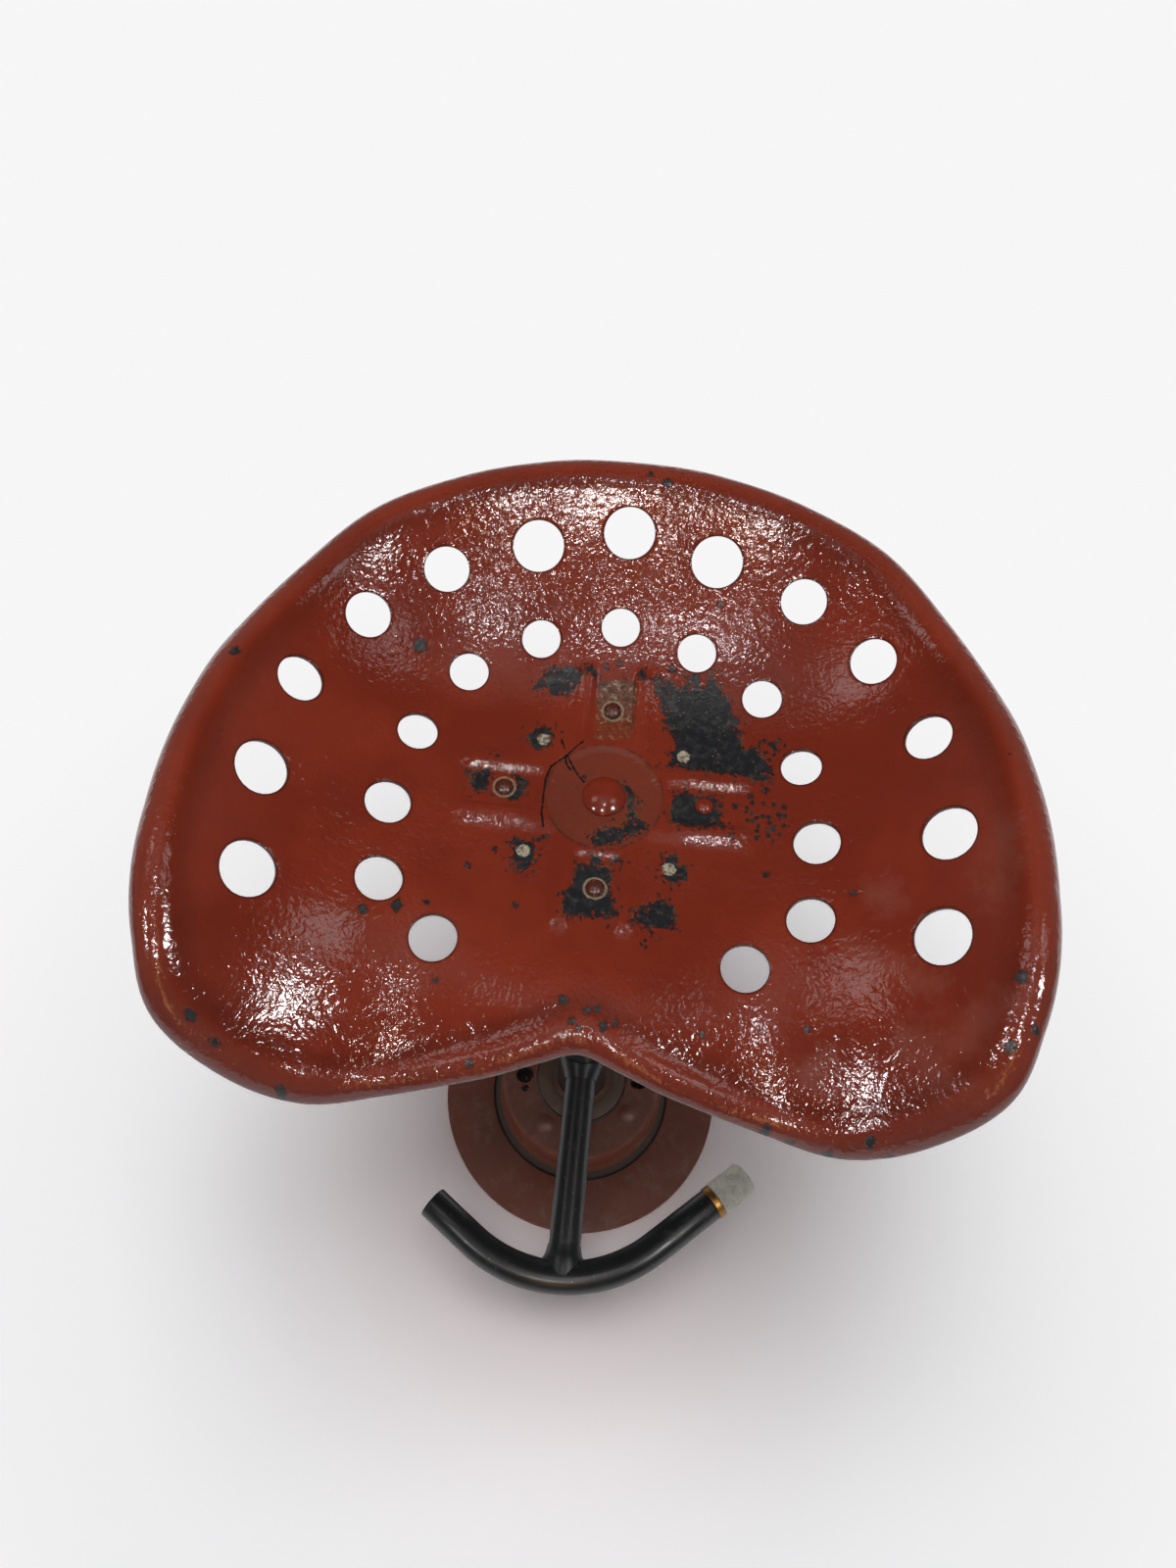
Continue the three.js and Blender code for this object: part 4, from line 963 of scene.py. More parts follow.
def worn_steel(name, tint, metal, dark, rust, scale, rough):
    """Bare or plated metal with stain and rust from the same noise, at each use's own strength."""
    look = Finish(name, metal)
    look.start(look.noise(scale, 5, 0.65), times(tint, dark), times(tint, 1.1))
    rusted = look.noise(scale * 0.45, 5, 0.7, 0.5).step(0.72 - rust * 0.4, 0.86 - rust * 0.4)
    look.lay(rusted * 0.8, RUST)
    look.lay(look.use("Scratches", Scale=scale, Width=0.01) * 0.4, times(tint, 1.3))
    return look.finish(look.noise(scale * 2, 3).spread(*rough) + rusted * 0.25, look.noise(scale * 3, 4, 0.6), 0.1 * MM)


def cap_plastic(finishes):
    """Grubby, chalked pale plastic."""
    look = Finish("Chalked plastic", specular=0.3)
    look.start(look.noise(120, 5, 0.7), times(finishes.cap, 0.7), times(finishes.cap, 1.2))
    look.lay(look.use("Dust", Scale=140, Amount=0.4) * 0.3, CAP_DIRT)
    return look.finish(look.noise(200).spread(0.55, 0.8), look.noise(380, 4, 0.65), 0.25 * MM)


SHADOW_AHEAD = 0.06  # how far in front of the axis the floor's shadow has its middle
SHADOW_EDGE, PLAIN_EDGE = (0.10, 0.42), (0.28, 0.82)  # from there: where the lift is full, where the floor is plain
# Close round the stool the lift is pinker than further out: painted red bounce light off the seat.
RED_BOUNCE_LIFT, FULL_LIFT, PLAIN_LIGHT = [1.38, 1.24, 1.26], [1.38, 1.37, 1.39], 1.04


def floor_finish(stage):
    """Pale floor. It keeps the shadow; to the camera and in reflections it is lifted, with a painted red bounce of
    light close round the stool and plain white further out.
    """
    look = Finish("Floor", specular=0.0)
    pale = stage.floor_colour
    path = look.put("ShaderNodeLightPath", output="Is Camera Ray")
    seen = path | path.also("Is Glossy Ray") | path.also("Is Transmission Ray")
    out = look.vector("DISTANCE", look.where, (AXIS.x, AXIS.y - SHADOW_AHEAD, 0))
    look.start(look.noise(3), times(pale, 0.985), pale)
    look.lay(seen, look.mix(out.step(*SHADOW_EDGE), RED_BOUNCE_LIFT, FULL_LIFT))
    look.finish(0.8)
    white = look.put("ShaderNodeEmission", {"Color": pale, "Strength": PLAIN_LIGHT})
    shown = {0: out.step(*PLAIN_EDGE) * seen, 1: Value(look, look.shader.outputs[0]), 2: white}
    look.set(look.tree.nodes["Material Output"].inputs["Surface"], look.put("ShaderNodeMixShader", shown))
    return look.material


# Pieces

def settings():
    scene = bpy.context.scene
    return scene.stool_stage, scene.stool_pan, scene.stool_base, scene.stool_footrest, scene.stool_finishes


class StoolOperator(bpy.types.Operator):
    bl_options = {"REGISTER", "UNDO"}

    def execute(self, context):
        begin()
        self.make()
        begin()
        return {"FINISHED"}


class STOOL_OT_camera(StoolOperator):
    """Set up the camera at the photograph's angle"""

    bl_idname = "stool.camera"
    bl_label = "Camera"

    def make(self):
        stage = settings()[0]
        along = Matrix.Rotation(stage.camera_turn, 4, "Z") @ Matrix.Rotation(stage.camera_tilt, 4, "X")
        turn = along @ Matrix.Rotation(stage.camera_roll, 4, "Z")
        bpy.ops.object.camera_add()
        camera = bpy.context.object
        camera.name = "Camera"
        camera.matrix_world = Matrix.Translation(Vector(stage.camera_place) + Vector((AXIS.x, AXIS.y, 0))) @ turn
        camera.data.sensor_fit = "AUTO"
        camera.data.sensor_width = 36
        camera.data.lens = stage.lens
        camera.data.clip_start = 0.05
        bpy.context.scene.camera = camera


GLINTS = (  # the way to each from the seat, and its share of a whole glint lamp
    ("right", (0.74, -0.46, 0.93), 0.8), ("left", (-0.55, -0.50, 0.70), 0.38),
    ("front", (-0.04, -0.60, 0.80), 0.4), ("ridge", (0.05, -0.27, 0.96), 0.2),
)
GLINT_TINT = (1, 0.985, 0.98)
SHEEN_WAY, SHEEN_SIDE, SHEEN_TINT = (0.52, 0.03, 0.84), 1.1, (1, 0.97, 0.97)
WARM_WAY, WARM_WIDTH, WARM_DEPTH, WARM_TINT = (0, -0.8, 0.6), 0.5, 3.4, (1, 0.5, 0.2)
KEY_ASIDE = (-0.04, -0.02)  # of the lamp overhead, from the column's axis
SKY_WALLS, SKY_TOP, SKY_MIRRORED = 2.6, 0.7, 0.5  # shares of the sky's strength
FLOOR_DROP = 0.2 * MM  # keeps the floor off the disc's underside


class STOOL_OT_stage(StoolOperator):
    """Lay the pale floor and hang the lamps"""

    bl_idname = "stool.stage"
    bl_label = "Floor and lamps"

    def make(self):
        stage = settings()[0]
        bpy.ops.mesh.primitive_plane_add(size=stage.floor_size, location=(0, 0, -FLOOR_DROP))
        floor = bpy.context.object
        floor.name = "Floor"
        keep_place()
        floor.data.materials.append(floor_finish(stage))
        seat = Vector((AXIS.x, AXIS.y, SEAT_LEVEL))
        overhead = Vector((AXIS.x + KEY_ASIDE[0], AXIS.y + KEY_ASIDE[1], stage.key_height))
        key = self.lamp("Key lamp", overhead, seat, stage.key_power, stage.key_size, stage.key_size, (1, 1, 1))
        key.visible_glossy = False
        for name, way, share in GLINTS:
            side = stage.glint_size * share
            self.glint(name, way, stage.glint_power * share, side, side, GLINT_TINT)
        for side in (-1, 1):
            way = (SHEEN_WAY[0] * side, *SHEEN_WAY[1:])
            self.glint(f"sheen {side}", way, stage.sheen_power, SHEEN_SIDE, SHEEN_SIDE, SHEEN_TINT)
        self.glint("warm", WARM_WAY, stage.warm_power, WARM_WIDTH, WARM_DEPTH, WARM_TINT)
        self.sky(stage.sky)

    def glint(self, name, way, power, width, depth, tint):
        """A lamp that only shows as a highlight on what is glossy."""
        seat = Vector((AXIS.x, AXIS.y, SEAT_LEVEL))
        at = seat + Vector(way).normalized() * settings()[0].glint_distance
        lamp = self.lamp(f"Glint {name}", at, seat, power, width, depth, tint)
        lamp.visible_diffuse = False

    def lamp(self, name, place_at, target, power, width, depth, tint):
        bpy.ops.object.light_add(type="AREA", location=place_at)
        lamp = bpy.context.object
        lamp.name = name
        lamp.rotation_mode = "QUATERNION"
        lamp.rotation_quaternion = (target - place_at).to_track_quat("-Z", "Y")
        lamp.data.shape = "RECTANGLE"
        lamp.data.size = width
        lamp.data.size_y = depth
        lamp.data.energy = power
        lamp.data.color = tint
        return lamp

    def sky(self, strength):
        """Light from all round, pale towards the walls and dim overhead, and dimmer where it is mirrored."""
        world = bpy.data.worlds.new("Studio")
        bpy.context.scene.world = world
        world.use_nodes = True
        sky = Nodes(world.node_tree)
        light = sky.tree.nodes["Background"].inputs
        way = sky.put("ShaderNodeTexCoord", output="Generated")
        overhead = sky.part(way, "Z").step(0.15, 0.6)
        sky.set(light["Color"], sky.mix(overhead, [SKY_WALLS * strength] * 3, [SKY_TOP * strength] * 3))
        mirrored = sky.put("ShaderNodeLightPath", output="Is Glossy Ray")
        sky.set(light["Strength"], mirrored.spread(1.0, SKY_MIRRORED))


LUG_TURN, LOCATOR_TURN = 2.4, -164  # degrees, of the first wheel hole and of the locating hole


class STOOL_OT_disc(StoolOperator):
    """Turn the brake disc and drill its hat"""

    bl_idname = "stool.disc"
    bl_label = "Brake disc"

    def make(self):
        base, finishes = settings()[2], settings()[4]
        edge, chamfer = 0.8 * MM, 0.7 * MM
        groove_foot = base.ring_thickness - 2 * MM
        inner_wall = base.hat_radius - base.hat_plate
        under = base.hat_height - base.hat_plate
        profile = rounded([
            (base.ring_bore, 0, 0.4 * MM),
            (base.disc_radius, 0, edge),
            (base.disc_radius, base.ring_thickness, edge),
            (base.flare_radius + base.groove, base.ring_thickness, 0.3 * MM),
            (base.flare_radius + base.groove, groove_foot, 0),
            (base.flare_radius, groove_foot, 0),
            (base.flare_radius, base.flare_foot, 0.6 * MM),
            (base.hat_radius + 1 * MM, base.flare_top, 2 * MM),
            (base.hat_radius, base.hat_height, base.hat_round),
            (base.bore, base.hat_height, 0.6 * MM),
            (base.bore, under, 0.4 * MM),
            (inner_wall, under, 3 * MM),
            (inner_wall, base.flare_top, 2 * MM),
            (base.ring_bore, 6 * MM, 1.5 * MM),
        ])
        disc = turned(profile, 160, AXIS.xy, ring=True)
        cutters = []
        lug_turns = [math.radians(LUG_TURN + 90 * i) for i in range(4)]
        holes = [(base.lug_circle, turn, base.lug_radius) for turn in lug_turns]
        holes.append((base.locator_circle, math.radians(LOCATOR_TURN), base.locator_radius))
        for circle, turn, radius in holes:
            at = (AXIS.x + circle * math.cos(turn), AXIS.y + circle * math.sin(turn))
            cutters.append(turned([
                (radius, under - 4 * MM), (radius, base.hat_height - chamfer),
                (radius + 2 * chamfer, base.hat_height + chamfer),
            ], 40, at))
        cut(disc, cutters)
        deliver(disc, "turned_disc", "base", "oxide_iron", disc_paint(finishes, base), "brake_disc", sharp=28)


SPINDLE_BORE, SPINDLE_RADIUS, THREAD_RADIUS = 20.3 * MM, 20 * MM, 12 * MM
BUSH_RADIUS, FLANGE_RADIUS, FLANGE_THICKNESS = 25 * MM, 32 * MM, 3 * MM
THREAD_PITCH, THREAD_DEPTH = 1.75 * MM, 0.8 * MM
BOLT_HEAD, RIVET_HEAD = 4.5 * MM, 2.8 * MM  # heights of the heads


def sleeve(node, bore, rounds, steps, sides):
    """A ring as wide and high as its node. Its rounds in mm: bore and outside below, outside and bore on top."""
    low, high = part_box(node)
    outer = (high - low).x / 2
    places = (bore, low.z), (outer, low.z), (outer, high.z), (bore, high.z)
    corners = [(*at, fillet * MM) for at, fillet in zip(places, rounds)]
    return turned(rounded(corners, steps), sides, AXIS.xy, ring=True)


class STOOL_OT_swivel(StoolOperator):
    """Fit the swivel under the hat: housing, bushes, spindle, washers and nuts, and the cup-head bolts"""

    bl_idname = "stool.swivel"
    bl_label = "Swivel"

    def make(self):
        finishes = settings()[4]
        plated = worn_steel("Plated steel", finishes.plated, 0.85, 0.6, 0.25, 220.0, (0.3, 0.5))
        bronze = worn_steel("Bush bronze", finishes.bronze, 1.0, 0.55, 0.0, 240.0, (0.28, 0.45))
        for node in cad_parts:
            if node.startswith(("hub_washer", "hub_nut", "swivel_housing", "spindle", "seat_nut")):
                dress(node, plated)
        bolt_paint = worn_steel("Painted bolt head", finishes.oxide, 0.0, 0.72, 0.1, 120.0, (0.42, 0.62))
        for i in range(1, 5):
            self.bolt(f"hub_bolt_{i}", bolt_paint)
        self.bush("upper_bush", 1, bronze)
        self.bush("lower_bush", -1, bronze)
        washer = sleeve("spindle_washer", THREAD_RADIUS + SEAT_GAP, (0.3, 0.5, 0.5, 0.3), 3, 80)
        deliver(washer, "spindle_washer_turned", "column", "plated_steel", plated, "spindle_washer")
        self.spindle(plated)
        ring = sleeve("hub_ring", SPINDLE_BORE, (0.3, 0.3, 0.9, 0.4), 4, 128)
        bare = worn_steel("Bare turned ring", finishes.bare_ring, 0.25, 0.6, 0.42, 90.0, (0.45, 0.65))
        deliver(ring, "centre_ring", "column", "bare_ring", bare, "hub_ring")

    def bolt(self, node, paint):
        low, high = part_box(node)
        centre = (low + high) / 2
        head_foot = high.z - BOLT_HEAD
        profile = above(low.z, (3.4, 0), (4, 0.6)) + above(head_foot, (4, 0), (9.2, 0), (9.5, 0.3))
        bolt = turned(profile + dome(9.4 * MM, 4.1 * MM, head_foot + 0.4 * MM), 48, centre.xy)
        deliver(bolt, f"cup_head_{node[-1]}", "base", "oxide_steel", paint, node)

    def bush(self, node, side, bronze):
        low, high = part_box(node)
        flange, tail = (high.z, low.z) if side > 0 else (low.z, high.z)
        seat = flange - side * FLANGE_THICKNESS
        corners = [
            (SPINDLE_BORE, flange, 0.4 * MM), (SPINDLE_BORE, tail, 0.4 * MM), (BUSH_RADIUS, tail, 0.5 * MM),
            (BUSH_RADIUS, seat, 0), (FLANGE_RADIUS, seat, 0.4 * MM), (FLANGE_RADIUS, flange, 0.5 * MM),
        ]
        bush = turned(rounded(corners, 3), 96, AXIS.xy, ring=True)
        deliver(bush, f"{node}_turned", "base", "bush_bronze", bronze, node)

    def spindle(self, plated):
        low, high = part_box("spindle")
        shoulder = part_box("spindle_washer")[1].z + SEAT_GAP
        profile = [(THREAD_RADIUS - 1.5 * MM, low.z), (THREAD_RADIUS, low.z + 1.5 * MM)]
        thread = low.z + 2 * MM
        while thread < shoulder - 4 * MM:
            profile += [(THREAD_RADIUS, thread), (THREAD_RADIUS - THREAD_DEPTH, thread + 0.6 * MM),
                        (THREAD_RADIUS, thread + 1.2 * MM)]
            thread += THREAD_PITCH
        profile += [(THREAD_RADIUS, shoulder), (SPINDLE_RADIUS, shoulder), (SPINDLE_RADIUS, high.z - 1 * MM),
                    (SPINDLE_RADIUS - 1 * MM, high.z)]
        deliver(turned(profile, 64, AXIS.xy), "turned_spindle", "column", "plated_steel", plated, "spindle")


POST_RADIUS, POST_WALL = 24.15 * MM, 3.2 * MM
WELD_RADIUS = POST_RADIUS + SEAT_GAP  # inside of a bead round the post
WELD_SHAPE = ((1, 0), (0.92, 0.3), (0.6, 0.62), (0.28, 0.9), (0, 1))  # out and up, as shares of the leg
WELD_BEADS, WELD_RIPPLE = 14, 0.10


class STOOL_OT_post(StoolOperator):
    """Stand the pipe post on its ring, with its two welds"""

    bl_idname = "stool.post"
    bl_label = "Post"

    def make(self):
        finishes = settings()[4]
        post = sleeve("post", size("post").x / 2 - POST_WALL, (0.3, 0.4, 0.4, 0.3), 2, 96)
        deliver(post, "pipe_post", "column", "black_paint", post_paint(finishes), "post")
        rusty = worn_steel("Rusty weld", (0.11, 0.07, 0.05), 0.3, 0.5, 0.8, 260.0, (0.5, 0.75))
        self.weld("foot_weld", 1, rusty, "rusty_weld")
        self.weld("head_weld", -1, post_paint(finishes, "Black weld paint", False), "black_paint")

    def weld(self, node, side, material, slot):
        """A fillet weld laid in overlapping beads."""
        low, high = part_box(node)
        foot = low.z if side > 0 else high.z
        inner, leg = WELD_RADIUS, size(node).z
        corners = [(inner + leg * out, foot + side * leg * up) for out, up in WELD_SHAPE]
        bead = turned([(inner, foot)] + corners, 120, AXIS.xy, ring=True)
        for vertex in bead.data.vertices:
            out = Vector((vertex.co.x - AXIS.x, vertex.co.y - AXIS.y))
            turn = math.atan2(out.y, out.x)
            past = out.length - inner
            if past > 0.2 * MM and abs(vertex.co.z - foot) > 0.2 * MM:
                ripple = 1 - WELD_RIPPLE * abs(math.sin(WELD_BEADS * turn + 0.8 * math.sin(3 * turn)))
                new_out = inner + past * ripple
                vertex.co.x = AXIS.x + math.cos(turn) * new_out
                vertex.co.y = AXIS.y + math.sin(turn) * new_out
        deliver(bead, f"{node}_bead", "column", slot, material, node, sharp=50)


# Weld collars: out from the stem and along it from the face, in mm
STEM_WELD_SHAPE = ((7, -12), (5.6, -4), (3.8, 1), (2.2, 5), (1.2, 9), (0.4, 12))
BAR_WELD_SHAPE = ((0.4, -12), (1.1, -8), (2.2, -4), (3.9, -0.8), (3.0, 4), (0.8, 12.6))
COLLAR_FLATNESS = 0.3  # of a collar's swelling on top and below
CAP_BORE, CAP_SOCKET = 8.45 * MM, 12.3 * MM
SPIGOT_PLAY, SPIGOT_NECK, SPIGOT_IN, SPIGOT_OUT = 0.45 * MM, 8 * MM, 14 * MM, 12 * MM  # of the ferrule's spigot
POST_CUT = 60 * MM  # how far over and under the footrest a cut along the post goes


class STOOL_OT_footrest(StoolOperator):
    """Make the footrest: stem, bent bar, welds, brass ferrule and end cap"""

    bl_idname = "stool.footrest"
    bl_label = "Footrest"

    def make(self):
        rest, finishes = settings()[3:]
        self.rest = rest
        self.centre = Vector((AXIS.x, AXIS.y - rest.reach, FOOTREST_LEVEL))
        paint = post_paint(finishes, "Black footrest paint", False)
        bar = self.tube(rest.tube_radius, rest.wall)
        deliver(bar, "bent_bar", "column", "black_paint", paint, "footrest_bar", sharp=40)
        stem = turned([
            (rest.tube_radius, 0), (rest.tube_radius, rest.reach), (rest.tube_radius - rest.wall, rest.reach),
            (rest.tube_radius - rest.wall, 0),
        ], 64, ring=True)
        place(stem, self.stem_place())
        cut(stem, [self.post_tool(), self.tube(rest.tube_radius + SEAT_GAP, 0)])
        deliver(stem, "stem_tube", "column", "black_paint", paint, "footrest_stem", sharp=40)
        self.weld("stem_weld", POST_RADIUS, 1, paint)
        self.weld("bar_weld", rest.reach - rest.tube_radius, -1, paint)
        self.end_fittings(finishes)

    def stem_place(self):
        return Matrix.Translation((AXIS.x, AXIS.y, FOOTREST_LEVEL)) @ Matrix.Rotation(math.pi / 2, 4, "X")

    def bar_place(self):
        return Matrix.Translation(self.centre) @ Matrix.Rotation(self.rest.turn, 4, "Z")

    def post_tool(self):
        radius = size("post").x / 2 + SEAT_GAP
        return turned([(radius, FOOTREST_LEVEL - POST_CUT), (radius, FOOTREST_LEVEL + POST_CUT)], 96, AXIS.xy)

    def arm_end(self, side, arm):
        """The middle of an arm's end, from the middle of the bar."""
        rest, bend = self.rest, self.rest.bend
        out = rest.bend_radius * math.sin(bend) + arm * math.cos(bend)
        return Vector((side * out, rest.bend_radius * (1 - math.cos(bend)) + arm * math.sin(bend), 0))

    def tube(self, radius, wall):
        """The bent bar: a circle drawn out along the left arm, spun round the bend and drawn out again."""
        rest, bend = self.rest, self.rest.bend
        begin()
        bpy.ops.mesh.primitive_circle_add(vertices=48, radius=radius, location=self.arm_end(-1, rest.left_arm))
        circle = bpy.context.object
        circle.rotation_euler = (Matrix.Rotation(-bend, 4, "Z") @ Matrix.Rotation(math.pi / 2, 4, "Y")).to_euler()
        keep_place()
        with editing():
            run = Vector((math.cos(bend), -math.sin(bend), 0)) * rest.left_arm
            bpy.ops.mesh.extrude_region_move(TRANSFORM_OT_translate={"value": run})
            bpy.ops.mesh.spin(steps=40, angle=-2 * bend, center=(0, rest.bend_radius, 0), axis=(0, 0, 1))
            run = Vector((math.cos(bend), math.sin(bend), 0)) * rest.right_arm
            bpy.ops.mesh.extrude_region_move(TRANSFORM_OT_translate={"value": run})
            if not wall:
                select_open_edges()
                bpy.ops.mesh.fill_holes(sides=0)
        tidy_normals(circle)
        if wall:
            modifier(circle, "SOLIDIFY", thickness=wall, offset=-1, use_even_offset=True)
            modifier(circle, "BEVEL", width=0.5 * MM, segments=2, limit_method="ANGLE", angle_limit=math.radians(60))
        return place(circle, self.bar_place())

    def weld(self, node, face, side, paint):
        """A weld collar round the stem, swelling towards what it joins."""
        inner = self.rest.tube_radius + SEAT_GAP
        shape = STEM_WELD_SHAPE if side > 0 else BAR_WELD_SHAPE
        run = [(inner + out * MM, face + along * MM) for out, along in shape]
        profile = [(inner, run[0][1])] + run + [(inner, run[-1][1])]
        collar = place(turned(profile, 72, ring=True), self.stem_place())
        for vertex in collar.data.vertices:
            height = vertex.co.z - FOOTREST_LEVEL
            out = math.hypot(vertex.co.x - AXIS.x, height)
            if out > inner:  # the bead is lower on top and below than at the sides
                vertex.co.z = FOOTREST_LEVEL + height * (inner + (out - inner) * COLLAR_FLATNESS) / out
        tool = self.post_tool() if side > 0 else self.tube(self.rest.tube_radius + SEAT_GAP, 0)
        cut(collar, [tool])
        deliver(collar, f"{node}_collar", "column", "black_paint", paint, node, sharp=50)

    def end_fittings(self, finishes):
        """Ferrule and cap, turned round the bar's right end."""
        rest = self.rest
        end = Matrix.Translation(self.arm_end(1, rest.right_arm))
        out = end @ Matrix.Rotation(rest.bend, 4, "Z") @ Matrix.Rotation(math.pi / 2, 4, "Y")
        where = self.bar_place() @ out
        spigot = rest.tube_radius - rest.wall - SPIGOT_PLAY
        top = SEAT_GAP + rest.ferrule_length
        profile = [(spigot - 1 * MM, -SPIGOT_IN), (spigot, 1 * MM - SPIGOT_IN), (spigot, SEAT_GAP)]
        profile += rounded([
            (spigot, SEAT_GAP, 0), (rest.ferrule_radius, SEAT_GAP, 0.8 * MM), (rest.ferrule_radius, top, 1 * MM),
            (SPIGOT_NECK, top, 0),
        ])[1:]
        profile += [(SPIGOT_NECK, top + SPIGOT_OUT)]
        brass = worn_steel("Ferrule brass", finishes.brass, 1.0, 0.35, 0.25, 300.0, (0.25, 0.5))
        ferrule = place(turned(profile, 64), where)
        deliver(ferrule, "brass_ferrule", "column", "ferrule_brass", brass, "ferrule", sharp=40)
        foot = rest.ferrule_length + 2 * SEAT_GAP
        crown = foot + rest.cap_length
        outside = rounded([
            (CAP_BORE, foot, 0), (rest.cap_radius, foot, 0.7 * MM), (rest.cap_radius, crown, 2.6 * MM),
            (1 * MM, crown, 0),
        ], 6)
        socket_end = foot + CAP_SOCKET
        cap = turned([(1 * MM, socket_end), (CAP_BORE, socket_end)] + outside, 64)
        self.dent(cap, foot, crown)
        place(cap, where)
        deliver(cap, "worn_cap", "column", "cap_plastic", cap_plastic(finishes), "end_cap", sharp=45)

    def dent(self, cap, foot, crown):
        """The cap is a little out of round and knocked about at its end."""
        radius = self.rest.cap_radius
        for vertex in cap.data.vertices:
            out = Vector((vertex.co.x, vertex.co.y))
            if out.length < 0.7 * radius or vertex.co.z < foot + 4 * MM:
                continue
            turn = math.atan2(out.y, out.x)
            late = (vertex.co.z - foot) / (crown - foot)
            loss = late * (0.35 * (1 + math.sin(3 * turn + 1)) + 0.2 * (1 + math.sin(7 * turn)))
            vertex.co.x *= 1 - loss * MM / radius
            vertex.co.y *= 1 - loss * MM / radius


class STOOL_OT_pan(StoolOperator):
    """Press the seat pan, pierce it and lay its enamel"""

    bl_idname = "stool.pan"
    bl_label = "Seat pan"

    def make(self):
        sizes, finishes = settings()[1], settings()[4]
        sheet = Sheet(sizes)
        pan = sheet_grid(sizes, sheet)
        take(pan)
        holes = hole_places(sizes.half_width) + [(BOLT_HOLE, 0, 0)] + [(RIVET_HOLE, x, y) for x, y in RIVET_PLACES]
        with editing("DESELECT"):
            bpy.ops.mesh.select_mode(type="FACE")
            for hole in holes:
                open_hole(pan, sheet, *hole)
        modifier(pan, "SOLIDIFY", thickness=sizes.thickness, offset=-1)
        modifier(pan, "BEVEL", width=0.55 * MM, segments=2, limit_method="ANGLE", angle_limit=math.radians(55))
        place(pan, Matrix.Translation((AXIS.x, AXIS.y, SEAT_LEVEL)))
        add_marks(pan, sheet)
        deliver(pan, "pressed_pan", "column", "red_enamel", seat_enamel(finishes), "seat_pan", sharp=40)


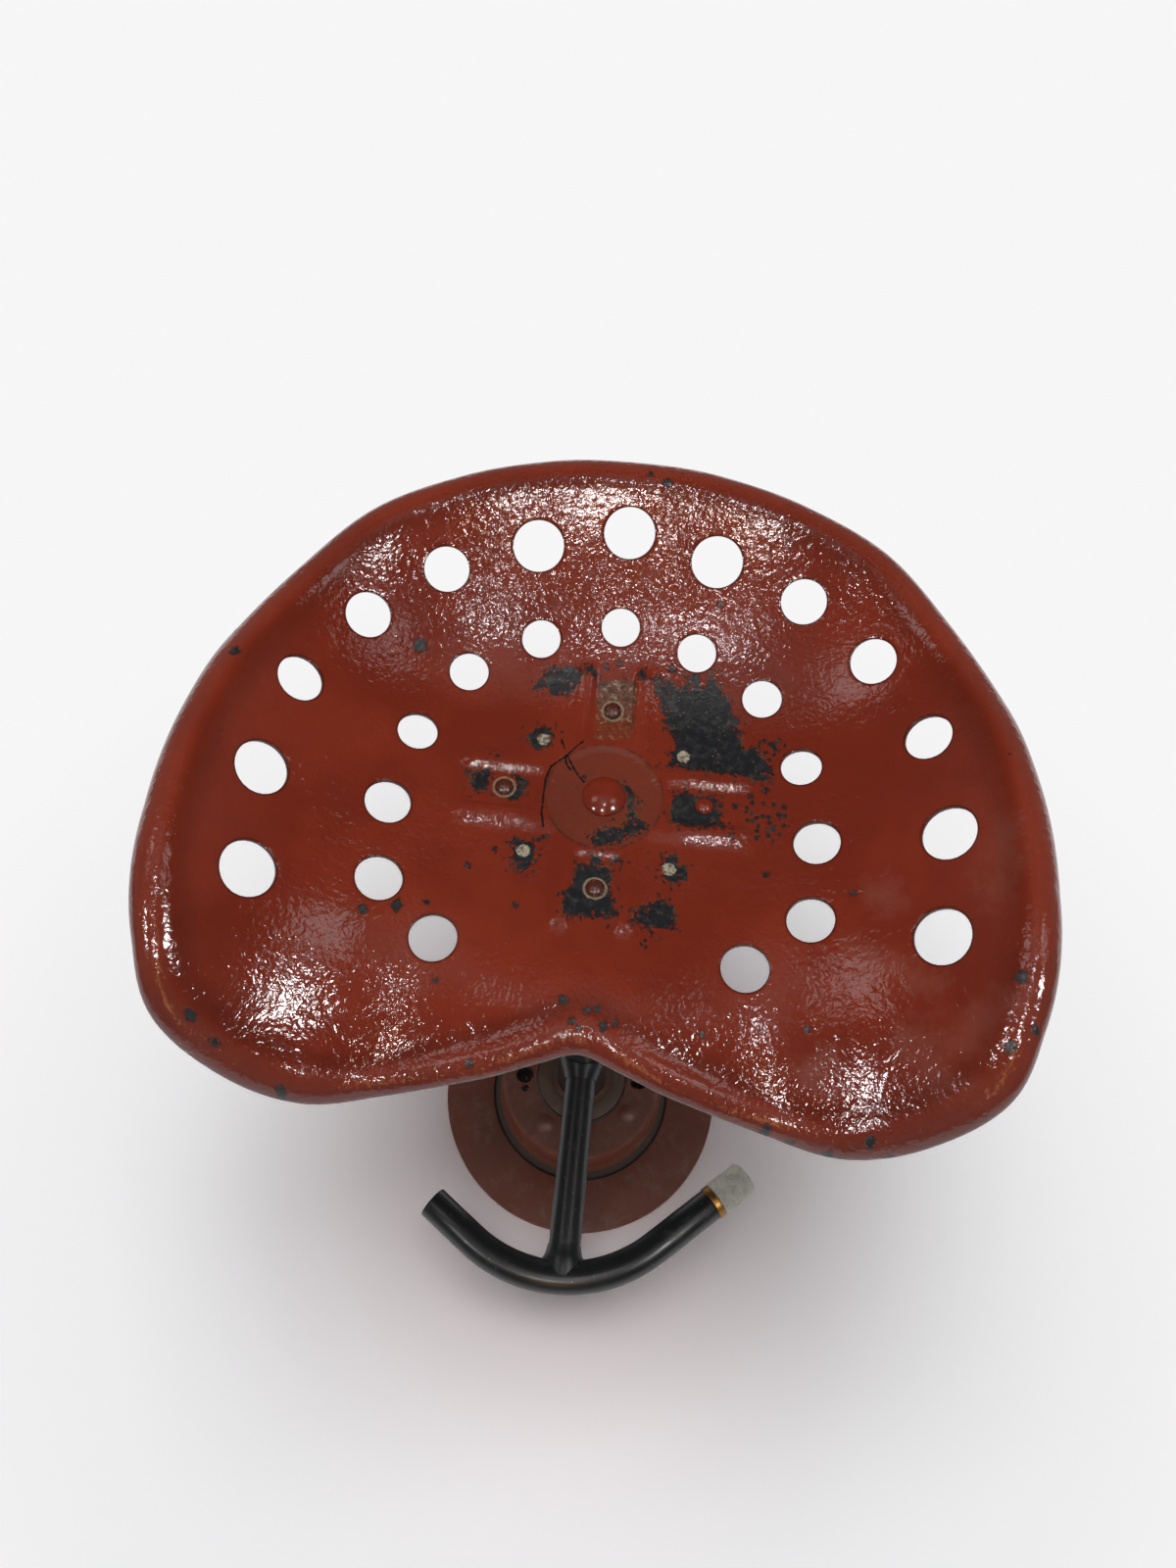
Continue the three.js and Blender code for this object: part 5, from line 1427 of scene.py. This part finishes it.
class STOOL_OT_seat_fittings(StoolOperator):
    """Fit the seat's bolt, rivets and the plates under it"""

    bl_idname = "stool.seat_fittings"
    bl_label = "Seat bolt, rivets and plates"

    def make(self):
        finishes = settings()[4]
        fresh, old = gloss_red(finishes), rivet_finish(finishes)
        low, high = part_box("seat_bolt")
        foot = SEAT_LEVEL + SEAT_GAP
        profile = above(low.z, (4.2, 0), (5, 0.8)) + above(foot, (5, 0), (11.7, 0), (12, 0.4))
        profile += dome(11.9 * MM, high.z - foot - 0.6 * MM, foot + 0.6 * MM, 10)
        deliver(turned(profile, 72, AXIS.xy), "cup_bolt", "column", "red_enamel", fresh, "seat_bolt")
        for i in range(1, 5):
            node = f"pan_rivet_{i}"
            low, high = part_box(node)
            centre = (low + high) / 2
            head_foot = high.z - RIVET_HEAD
            profile = above(low.z, (3.8, 0), (4.8, 0.6), (4.8, 2.4), (3, 2.4)) + above(head_foot, (3, 0), (5, 0))
            rivet = turned(profile + dome(5.1 * MM, 2.7 * MM, head_foot + 0.1 * MM, 8), 40, centre.xy)
            right = centre.x > AXIS.x + 20 * MM
            deliver(rivet, f"round_rivet_{i}", "column", "old_red", fresh if right else old, node)
        paint = post_paint(finishes, "Black plate paint", False)
        bolt_hole = (BOLT_HOLE, 0, 0)
        self.plate("back_plate", 12 * MM, paint, [bolt_hole] + [(RIVET_HOLE, x, y) for x, y in RIVET_PLACES])
        self.plate("head_plate", 8 * MM, paint, [bolt_hole])

    def plate(self, node, corner, paint, holes):
        """A square plate: its corners rounded, its holes drilled and its edges eased."""
        low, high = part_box(node)
        begin()
        bpy.ops.mesh.primitive_cube_add(size=1, location=(low + high) / 2, scale=high - low)
        plate = bpy.context.object
        keep_place()
        with editing("DESELECT"):
            mesh = bmesh.from_edit_mesh(plate.data)
            for edge in mesh.edges:
                edge.select = abs(edge.verts[0].co.z - edge.verts[1].co.z) > 1 * MM
            bmesh.update_edit_mesh(plate.data)
            bpy.ops.mesh.bevel(offset=corner, segments=8)
        modifier(plate, "BEVEL", width=0.5 * MM, segments=2, limit_method="ANGLE", angle_limit=math.radians(60))
        tools = [
            turned([(radius, low.z - 2 * MM), (radius, high.z + 2 * MM)], 32, (AXIS.x + x, AXIS.y + y))
            for radius, x, y in holes
        ]
        cut(plate, tools)
        deliver(plate, f"{node}_steel", "column", "black_paint", paint, node)


OPERATORS = (
    STOOL_OT_camera, STOOL_OT_stage, STOOL_OT_disc, STOOL_OT_swivel, STOOL_OT_post, STOOL_OT_footrest,
    STOOL_OT_pan, STOOL_OT_seat_fittings,
)
GROUPS = (
    ("stool_stage", StoolStage), ("stool_pan", StoolPan), ("stool_base", StoolBase),
    ("stool_footrest", StoolFootrest), ("stool_finishes", StoolFinishes),
)


class STOOL_PT_panel(bpy.types.Panel):
    """Lists the steps that make the stool, and its sizes and colours"""

    bl_idname = "STOOL_PT_panel"
    bl_label = "Tractor seat stool"
    bl_space_type = "VIEW_3D"
    bl_region_type = "UI"
    bl_category = "Stool"

    def draw(self, context):
        for operator in OPERATORS:
            self.layout.operator(operator.bl_idname)
        for name, group in GROUPS:
            box = self.layout.box()
            for key in group.__annotations__:
                box.prop(getattr(context.scene, name), key)


def register():
    for name, group in GROUPS:
        bpy.utils.register_class(group)
        setattr(bpy.types.Scene, name, PointerProperty(type=group))
    for operator in OPERATORS:
        bpy.utils.register_class(operator)
    bpy.utils.register_class(STOOL_PT_panel)


def unregister():
    bpy.utils.unregister_class(STOOL_PT_panel)
    for operator in reversed(OPERATORS):
        bpy.utils.unregister_class(operator)
    for name, group in reversed(GROUPS):
        delattr(bpy.types.Scene, name)
        bpy.utils.unregister_class(group)


def main():
    register()
    bpy.context.scene.view_settings.view_transform = "Standard"
    build_effects()
    for operator in OPERATORS:
        family, name = operator.bl_idname.split(".")
        getattr(getattr(bpy.ops, family), name)()


if __name__ == "__main__":
    main()
